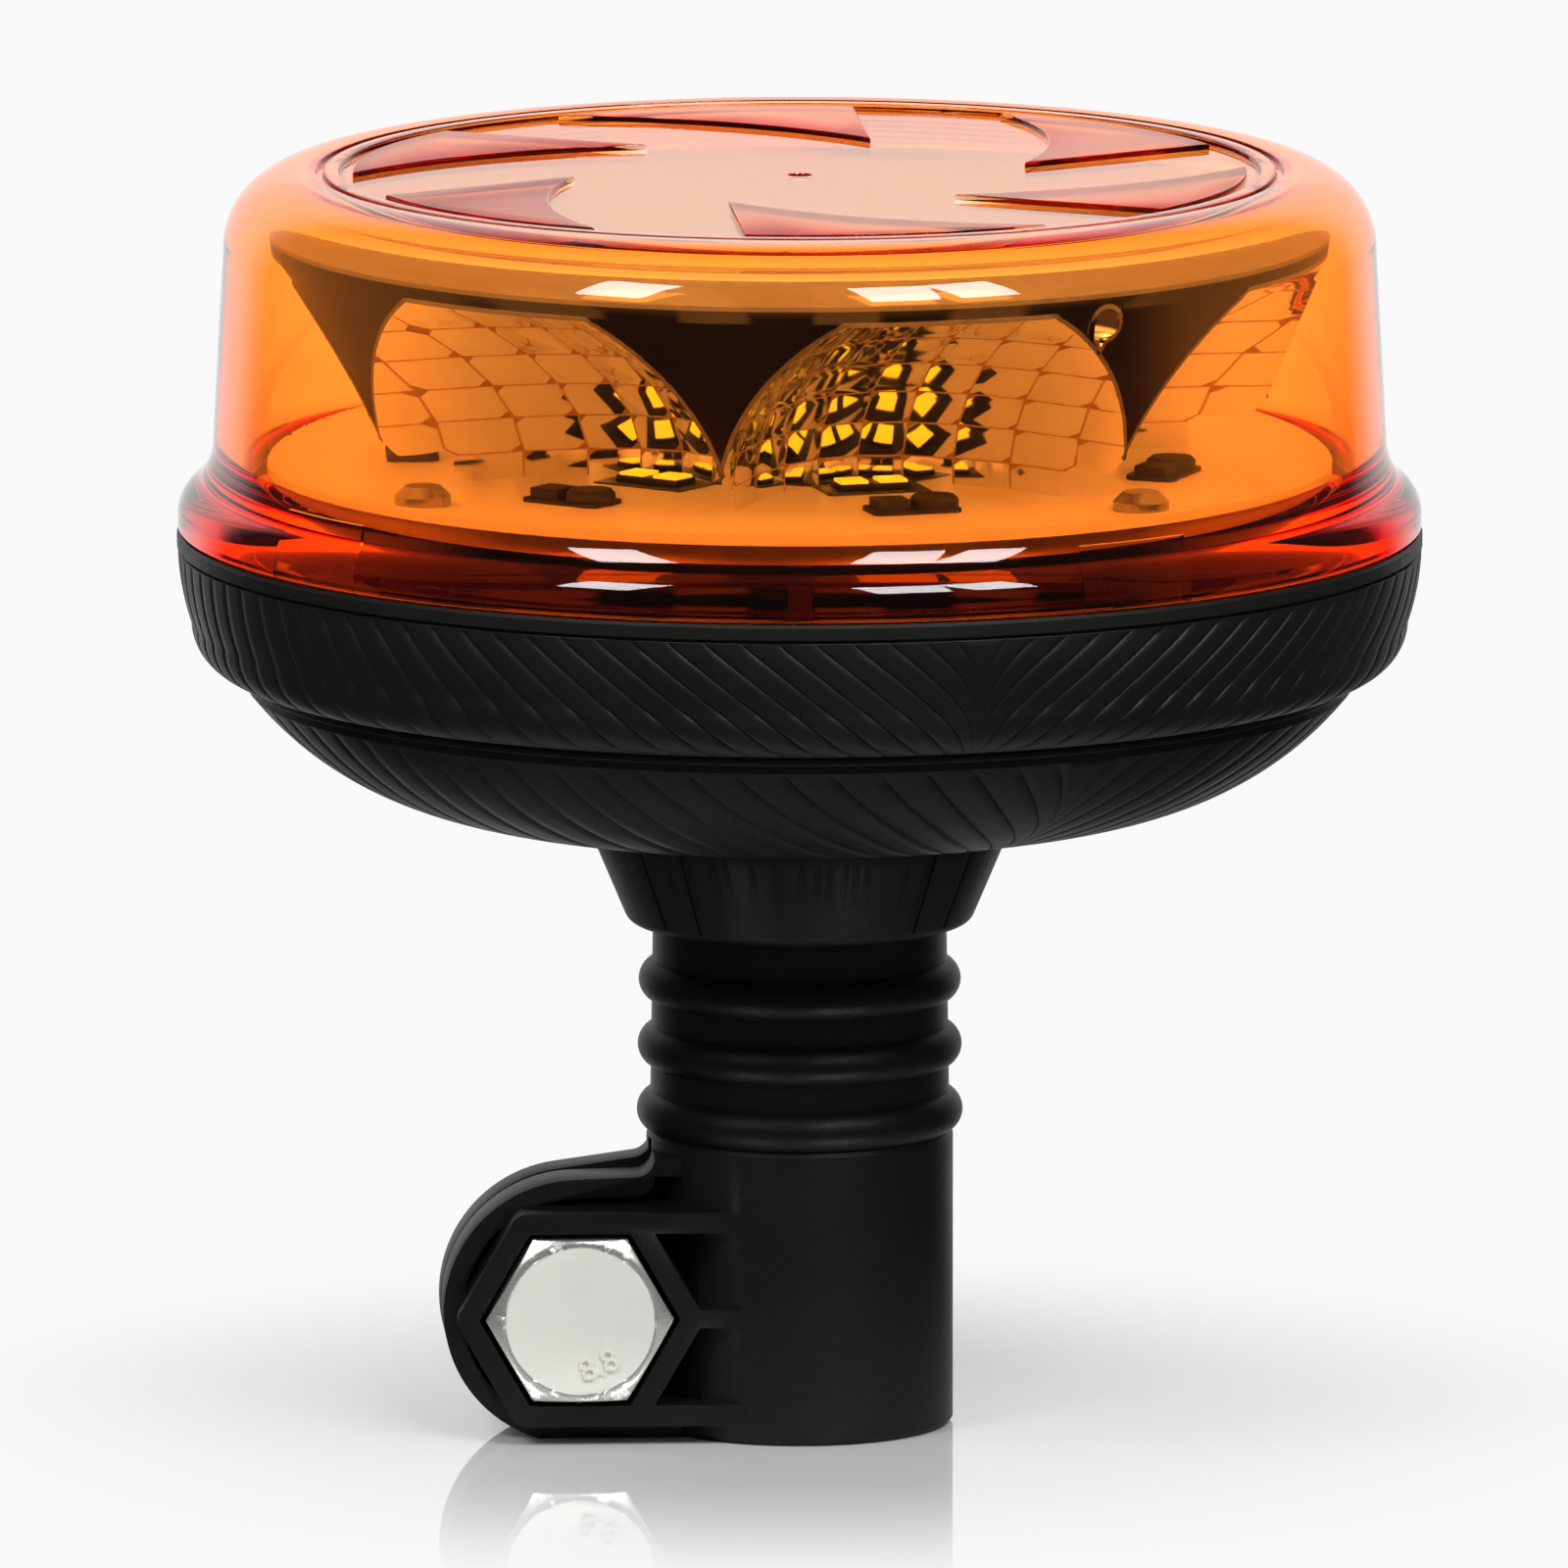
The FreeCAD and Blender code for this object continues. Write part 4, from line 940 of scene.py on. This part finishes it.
def threadedShank():
    # A core with a ridge wound round it, made upright and then laid along the bolt.
    core, radius, tip, pitch = pick(bolt, "core radius tip pitch")
    low, neckEnd, chamfer = bolt["seat"] - bolt["overlap"], bolt["threadStart"], bolt["chamfer"]
    shape = spun([(0.0, low), (radius, low), (radius, neckEnd), (core, neckEnd + bolt["runOut"]),
                  (core, tip - chamfer), (core - chamfer, tip), (0.0, tip)], bolt["shankSteps"])
    ridge = bmesh.new()
    start, root = neckEnd + bolt["threadLead"], core - bolt["root"]
    up, along, down = [start + pitch * share for share in bolt["ridge"]]
    corners = [(root, start), (radius, up), (radius, along), (root, down)]
    points = [ridge.verts.new((x * mm, 0, z * mm)) for x, z in corners]
    edges = [ridge.edges.new(pair) for pair in zip(points, points[1:] + points[:1])]
    turns = math.floor((tip - chamfer - start) / pitch) - 1
    bmesh.ops.spin(ridge, geom=points + edges, cent=(0, 0, 0), axis=(0, 0, 1), angle=2 * math.pi * turns,
                   steps=turns * bolt["turnSteps"], dvec=(0, 0, pitch / bolt["turnSteps"] * mm))
    bmesh.ops.holes_fill(ridge, edges=[edge for edge in ridge.edges if edge.is_boundary], sides=4)
    takeIn(shape, outwards(ridge))
    turned(shape, -90.0, "X")
    return moved(shape, (bolt["aside"], 0, bolt["height"]))


def makeBolt():
    shape = softened("clamp_bolt", bolt["edge"])
    everything = shape.verts[:] + shape.edges[:] + shape.faces[:]
    cut = bmesh.ops.bisect_plane(shape, geom=everything, dist=0.001 * mm, clear_outer=True,
                                 plane_co=(0, (bolt["seat"] + bolt["overlap"]) * mm, 0), plane_no=(0, 1, 0))
    opened = [item for item in cut["geom_cut"] if isinstance(item, bmesh.types.BMEdge)]
    bmesh.ops.holes_fill(shape, edges=opened)
    takeIn(shape, threadedShank())
    shape.normal_update()
    nearest = (bolt["face"] + bolt["faceNear"]) * mm
    disc = [face for face in shape.faces if face.calc_center_median().y < nearest]
    bmesh.ops.inset_region(shape, faces=disc, thickness=bolt["ring"] * mm, depth=-bolt["ringDepth"] * mm,
                           use_boundary=True, use_even_offset=True)
    mark = boltMark()
    for face in disc + mark.faces[:]:
        face.material_index = 1
    takeIn(shape, mark)
    piece = finishPiece(shape, "clamp_bolt_threaded", "clamp", ["clamp_bolt"], zincPlate)
    piece.data.materials.append(struckZinc)


makeBolt()


# Carried-over nodes

nodeFinishes = {
    "contact_carrier": carrierPbt, "earth_ring": contactBrass, "contact_pin": contactBrass,
    "contact_cap": contactBrass, "lead_grommet": epdmRubber,
    "neck_retainer": retainerNylon, "bowl_seal": epdmRubber, "lens_seal": epdmRubber,
    "heat_plate": milledAluminium, "led_board": solderResist,
    "head_lead_1": redPvc, "head_lead_2": blackPvc,
}
setFinishes = {"choke": ferrite, "retainer_screw": stainlessSteel,
               "rim_screw": stainlessSteel, "plate_screw": stainlessSteel,
               "reflector_screw": stainlessSteel}


def dressNodes():
    for name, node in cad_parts.items():
        finish = nodeFinishes.get(name) or setFinishes.get(name.rsplit("_", 1)[0])
        if finish:
            node.data.materials.clear()
            node.data.materials.append(finish)


dressNodes()
print("nodes dressed")


# Reflector ring: seven metallised cups of pillow facets, cut through a leaning dark front

reflector = {
    "foot": 47.3,
    "top": 54.9,
    "floor": 102.53,
    "ceiling": 124.03,
    "roof": 126.03,
    "core": 18.8,
    "steps": 280,
    "cups": 7,
    "cupFirst": -76.6,
    "vertex": 20.8,
    "axis": 103.33,
    "latus": 20.2,        # of the plan
    "rise": 16.0,         # latus of the upright section
    "half": 27.2,
    "columns": 12,
    "rows": 6,
    "cutsAcross": 6,      # grid steps in a facet
    "cutsUp": 5,
    "bulgeAcross": 0.48,  # flat facets would take 0.25 across and 0.22 up
    "bulgeUp": 0.3,
    "plain": (0.4, 2.0),  # the bulge starts this far inside the mouth
    "paintedHighlightWidth": 0.45,
    "bossCircle": 15.8,
    "boss": 3.2,
    "hole": 1.5,
    "holeTop": 112.13,
    "pocketRadius": 1.7,
    "pocketDepth": 2.5,
    "pocketDrop": 1.2,
    "pocketAside": 7.5,
    "roundSteps": 32,     # of posts and pockets
    "under": 1.0,         # the cups' cutters start this far under the floor
    "drawnTo": 120.0,     # and reach out to here
    "bossLap": (0.01, 0.5),
    "seamNear": (1.0, 0.02),     # from the paraboloid, and from a line as a share of a facet
    "frontNear": (0.05, 0.6),    # from the front cone, and the steepest normal of a land
    "roofNear": (0.1, 0.9),
    "sharp": 20.0,
}


def frontRadius(height):
    share = (height - reflector["floor"]) / (reflector["ceiling"] - reflector["floor"])
    return reflector["foot"] + (reflector["top"] - reflector["foot"]) * max(0.0, min(1.0, share))


def cupReach(aside, height):
    rise = (height - reflector["axis"]) ** 2 / reflector["rise"]
    return reflector["vertex"] + aside ** 2 / reflector["latus"] + rise


def facetPlace(aside, height):
    # Columns and rows counted from the cup's lower corner.
    low, high = reflector["floor"] - reflector["under"], reflector["ceiling"]
    column = (aside / reflector["half"] + 1) / 2 * reflector["columns"]
    return column, (height - low) / (high - low) * reflector["rows"]


def cupCutter(turn):
    # Grid over the cup's mouth, pushed back onto the pillowed paraboloid, then drawn out forwards.
    low, high = reflector["floor"] - reflector["under"], reflector["ceiling"]
    shape = bmesh.new()
    bmesh.ops.create_grid(shape, x_segments=reflector["columns"] * reflector["cutsAcross"],
                          y_segments=reflector["rows"] * reflector["cutsUp"], size=1.0)
    for vert in shape.verts:
        aside, height = reflector["half"] * vert.co.x, low + (high - low) * (vert.co.y + 1) / 2
        reach = cupReach(aside, height)
        u, v = [place % 1.0 * 2 - 1 for place in facetPlace(aside, height)]
        share = smoothStep(*reflector["plain"], frontRadius(height) - math.hypot(reach, aside))
        reach += share * (reflector["bulgeAcross"] * (1 - u * u) + reflector["bulgeUp"] * (1 - v * v))
        vert.co = Vector((reach, aside, height)) * mm
    for vert in drawnOut(shape):
        vert.co.x = reflector["drawnTo"] * mm
    return turned(outwards(shape), turn)


def pocketCutter(turn):
    # Drop-shaped: a round with a point below.
    shape = bmesh.new()
    bmesh.ops.create_circle(shape, cap_ends=True, segments=reflector["roundSteps"],
                            radius=reflector["pocketRadius"] * mm)
    tip = min(shape.verts, key=lambda vert: vert.co.y)
    tip.co.y *= math.sqrt(2)
    depth = reflector["pocketDepth"]
    bmesh.ops.translate(shape, verts=drawnOut(shape), vec=(0, 0, 2 * depth * mm))
    turned(outwards(shape), 90.0, "X")
    turned(shape, 90.0)
    moved(shape, (reflector["top"] - depth, 0, reflector["ceiling"] - reflector["pocketDrop"]))
    return turned(shape, turn)


def screwBoss(turn):
    # Post with a blind hole, hung from the roof.
    hole, boss, end = pick(reflector, "hole boss holeTop")
    low, high = reflector["floor"] + reflector["bossLap"][0], reflector["ceiling"] + reflector["bossLap"][1]
    shape = spun([(hole, low), (boss, low), (boss, high), (0.0, high), (0.0, end), (hole, end)],
                 reflector["roundSteps"])
    return turned(moved(shape, (reflector["bossCircle"], 0, 0)), turn)


def markSeams(shape):
    # One on the lines between facets, nought inside them.
    seam = shape.verts.layers.float.new("seam")
    pitch = math.radians(360.0 / reflector["cups"])
    first = math.radians(reflector["cupFirst"])
    onCup, onLine = reflector["seamNear"]
    for vert in shape.verts:
        turn = first + round((math.atan2(vert.co.y, vert.co.x) - first) / pitch) * pitch
        x, y, z = Matrix.Rotation(-turn, 3, "Z") @ vert.co / mm
        if abs(x - cupReach(y, z)) < onCup:
            vert[seam] = float(any(abs(place - round(place)) < onLine for place in facetPlace(y, z)))


def makeReflector():
    core, foot, top, floor, ceiling, roof = pick(reflector, "core foot top floor ceiling roof")
    turns = evenTurns(reflector["cupFirst"], reflector["cups"])
    onward = 180.0 / reflector["cups"] - reflector["pocketAside"]
    outline = [(core, floor), (foot, floor), (top, ceiling), (top, roof), (0.0, roof), (0.0, ceiling),
               (core, ceiling)]
    steps = [("DIFFERENCE", cupCutter(turn)) for turn in turns]
    steps += [("DIFFERENCE", pocketCutter(turn + onward)) for turn in turns[:-1:2]]
    steps += [("UNION", screwBoss(turn)) for turn in evenTurns(0.0, 4)]
    shape = carved(spun(outline, reflector["steps"]), steps)
    nearness, steepest = reflector["frontNear"]

    def onFront(face):
        spots = [vert.co / mm for vert in face.verts]
        near = all(abs(spot.xy.length - frontRadius(spot.z)) < nearness for spot in spots)
        return near and abs(face.normal.z) < steepest

    markSeams(shape)
    land = [face for face in shape.faces if onFront(face)]
    # A thin border round each dark land is a painted highlight on the cups' shining edge.
    ring = bmesh.ops.inset_region(shape, faces=land, thickness=reflector["paintedHighlightWidth"] * mm,
                                  use_boundary=True, use_even_offset=True)
    masked, pale = set(land), set(ring["faces"])
    below, flattest = reflector["roofNear"]
    # The border takes the pale satin finish as its painted highlight.
    for face in shape.faces:
        onRoof = face.normal.z > flattest and face.calc_center_median().z > (roof - below) * mm
        face.material_index = 1 if face in masked else 2 if onRoof or face in pale else 0
    piece = finishPiece(shape, "reflector_pillowed", "head", ["reflector_ring"],
                        metallisedCupSeamShaded, reflector["sharp"])
    piece.data.materials.append(reflectorLand)
    piece.data.materials.append(satinRoofAndEdgeHighlight)


makeReflector()


# LED pairs: two flat phosphor dice on a black carrier in front of each cup

leds = {
    "circle": 25.85,
    "width": 3.4,
    "pitch": 4.2,
    "height": 0.8,
    "die": 2.9,
    "proud": 0.3,
    "edge": 0.05,
    "field": (7.0, 11.0, 0.15),   # heat-spreading pad under the carrier
}


def block(size, middle):
    shape = bmesh.new()
    bmesh.ops.create_cube(shape, size=mm)
    bmesh.ops.scale(shape, verts=shape.verts, vec=size)
    bevelled(shape, shape.edges[:], leds["edge"])
    return moved(shape, middle)


def makeLeds():
    floor, top = reflector["floor"], reflector["floor"] + leds["height"]
    for index, turn in enumerate(evenTurns(reflector["cupFirst"], reflector["cups"])):
        shape = block((leds["width"], leds["pitch"] + leds["width"], leds["height"]),
                      (leds["circle"], 0, (floor + top) / 2))
        takeIn(shape, block(leds["field"], (leds["circle"], 0, floor + leds["field"][2] / 2)))
        for face in shape.faces:
            face.material_index = 1
        for side in (-0.5, 0.5):
            takeIn(shape, block((leds["die"], leds["die"], 2 * leds["proud"]),
                                (leds["circle"], side * leds["pitch"], top)))
        turned(shape, turn)
        number = str(index + 1)
        piece = finishPiece(shape, "led_pair_" + number, "head", ["led_module_" + number],
                            phosphorPaintedGlow)
        piece.data.materials.append(blackEpoxy)


makeLeds()


# Studio: pale floor, white behind, a dark front for mirrors, three soft boxes

studio = {
    "surround": 0.95,
    "front": 0.05,                # what mirrors see in front of the object
    "mirrorSpan": (0.65, 0.88),   # they see white only this far behind it
    "panelDark": 0.08,            # the front that glass sees is bright panels with dark gaps
    "panelBright": 2.4,
    "panelPitch": 0.46,           # in sideways share of the view direction
    "panelEdge": (-0.3, 0.3),
    "glassBack": 1.7,             # and a bright wall behind
    "glassSpan": (-0.45, -0.1),
    "glassHigh": (0.1, 0.4),      # the upward share of the view where the sky begins
    "sky": 1.0,                   # what is seen upwards through the lens
    "overhead": 7.5,              # what the lens lets in from above onto the parts inside
    "ambient": 0.5,               # even light on the outside
    "floorSize": 12000.0,
    "floorColour": "#f6f6f4",
    "floorRough": 0.8,
    "mirror": 0.5,                # share of mirror in the floor near the object
    "mirrorRough": 0.03,
    "fade": (32.0, 105.0),        # the floor turns plain white over this distance
    "boxes": ((-44.7, 293.0, 7.0), (19.8, 289.0, 5.5), (38.6, 250.0, 4.5)),   # azimuth, width, power
    "boxElevation": 44.0,
    "boxDistance": 1300.0,
    "boxHeight": 480.0,
    "boxAim": 90.0,
    "boxGlow": 16.0,
}
inFront = between(studio["mirrorSpan"], studio["front"], studio["surround"])
smooth = {"interpolation_type": "SMOOTHSTEP"}


def makeWorld():
    world = bpy.data.worlds.new("studio")
    world.use_nodes = True
    tree = world.node_tree
    path = addNode(tree, "LightPath").outputs
    view = addNode(tree, "TexCoord").outputs["Generated"]
    way = addNode(tree, "SeparateXYZ", None, {0: view}).outputs
    white = addNode(tree, "MapRange", inFront, {"Value": way["Y"]}, **smooth)
    mirror = addNode(tree, "Mix", {2: studio["ambient"]}, {0: path["Is Glossy Ray"], 3: white})
    aside = addNode(tree, "Math", {1: 2 * math.pi / studio["panelPitch"]}, {0: way["X"]},
                    operation="MULTIPLY")
    wave = addNode(tree, "Math", None, {0: aside}, operation="SINE")
    panels = addNode(tree, "MapRange",
                     between(studio["panelEdge"], studio["panelDark"], studio["panelBright"]),
                     {"Value": wave}, **smooth)
    back = addNode(tree, "MapRange", between(studio["glassSpan"]), {"Value": way["Y"]}, **smooth)
    around = addNode(tree, "Mix", {3: studio["glassBack"]}, {0: back, 2: panels})
    sky = addNode(tree, "Mix", {2: studio["sky"], 3: studio["overhead"]}, {0: path["Diffuse Depth"]})
    high = addNode(tree, "MapRange", between(studio["glassHigh"]), {"Value": way["Z"]}, **smooth)
    above = addNode(tree, "Math", None, {0: sky, 1: high}, operation="MULTIPLY")
    glass = addNode(tree, "Math", None, {0: around, 1: above}, operation="MAXIMUM")
    level = addNode(tree, "Mix", None, {0: path["Is Transmission Ray"], 2: mirror, 3: glass})
    seen = addNode(tree, "Mix", {3: studio["surround"]}, {0: path["Is Camera Ray"], 2: level})
    setNode(tree, tree.nodes["Background"], {"Color": (1, 1, 1, 1)}, {"Strength": seen})
    scene.world = world


def makeFloor():
    shape = bmesh.new()
    bmesh.ops.create_grid(shape, x_segments=8, y_segments=8, size=studio["floorSize"] / 2 * mm)
    material, tree, shader = startMaterial("pale_sweep")
    path = addNode(tree, "LightPath").outputs
    where = addNode(tree, "TexCoord").outputs["Object"]
    away = addNode(tree, "VectorMath", None, {0: where}, operation="LENGTH")
    fade = addNode(tree, "MapRange", between([reach * mm for reach in studio["fade"]]),
                   {"Value": away.outputs["Value"]}, **smooth)
    first = addNode(tree, "Math", None, {0: path["Is Camera Ray"], 1: path["Is Glossy Ray"]},
                    operation="MAXIMUM")
    seen = addNode(tree, "Math", None, {0: first, 1: path["Is Transmission Ray"]}, operation="MAXIMUM")
    glow = addNode(tree, "Math", None, {0: fade, 1: seen}, operation="MULTIPLY")
    bearing = addNode(tree, "VectorMath", None, {0: where}, operation="NORMALIZE")
    depth = addNode(tree, "SeparateXYZ", None, {0: bearing.outputs["Vector"]}).outputs["Y"]
    mirrored = addNode(tree, "MapRange", inFront, {"Value": depth}, **smooth)
    bare = addNode(tree, "Mix", {2: studio["surround"]}, {0: path["Is Glossy Ray"], 3: mirrored})
    glazed = addNode(tree, "MapRange",
                     between(studio["glassSpan"], studio["panelDark"], studio["glassBack"]),
                     {"Value": depth}, **smooth)
    level = addNode(tree, "Mix", None, {0: path["Is Transmission Ray"], 2: bare, 3: glazed})
    setNode(tree, shader, {"Base Color": linear(studio["floorColour"]), "Roughness": studio["floorRough"],
                           "Specular IOR Level": 0.0})
    mirror = addNode(tree, "BsdfGlossy", {"Roughness": studio["mirrorRough"]})
    lit = addNode(tree, "MixShader", {0: studio["mirror"]}, {1: shader, 2: mirror})
    white = addNode(tree, "Emission", None, {"Strength": level})
    whole = addNode(tree, "MixShader", None, {0: glow, 1: lit, 2: white})
    setNode(tree, tree.nodes["Material Output"], None, {"Surface": whole})
    floor = asObject(shape, "floor")
    floor.data.materials.append(material)


def makeBoxes():
    # Each box is a lamp for the light and a bright sheet for what mirrors and glass see of it.
    cloth, tree, shader = startMaterial("box_cloth")
    tree.nodes.remove(shader)
    glow = addNode(tree, "Emission", {"Strength": studio["boxGlow"]})
    setNode(tree, tree.nodes["Material Output"], None, {"Surface": glow})
    rise, height = math.radians(studio["boxElevation"]), studio["boxHeight"]
    for number, (azimuth, width, power) in enumerate(studio["boxes"], 1):
        turn = math.radians(azimuth)
        way = Vector((math.sin(turn) * math.cos(rise), -math.cos(turn) * math.cos(rise), math.sin(rise)))
        light = bpy.data.lights.new("soft_box_%d" % number, "AREA")
        light.shape = "RECTANGLE"
        light.size = width * mm
        light.size_y = height * mm
        light.energy = power
        lamp = bpy.data.objects.new(light.name, light)
        scene.collection.objects.link(lamp)
        shape = bmesh.new()
        bmesh.ops.create_grid(shape, x_segments=1, y_segments=1, size=0.5 * mm)
        bmesh.ops.scale(shape, verts=shape.verts, vec=(width, height, 1))
        sheet = asObject(shape, "box_sheet_%d" % number)
        sheet.data.materials.append(cloth)
        for item in (lamp, sheet):
            item.location = (way * studio["boxDistance"] + Vector((0, 0, studio["boxAim"]))) * mm
            item.rotation_euler = way.to_track_quat("Z", "Y").to_euler()
        lamp.visible_glossy = False
        lamp.visible_transmission = False
        sheet.visible_camera = False
        sheet.visible_diffuse = False
        sheet.visible_shadow = False


makeWorld()
makeFloor()
makeBoxes()
print("studio set")
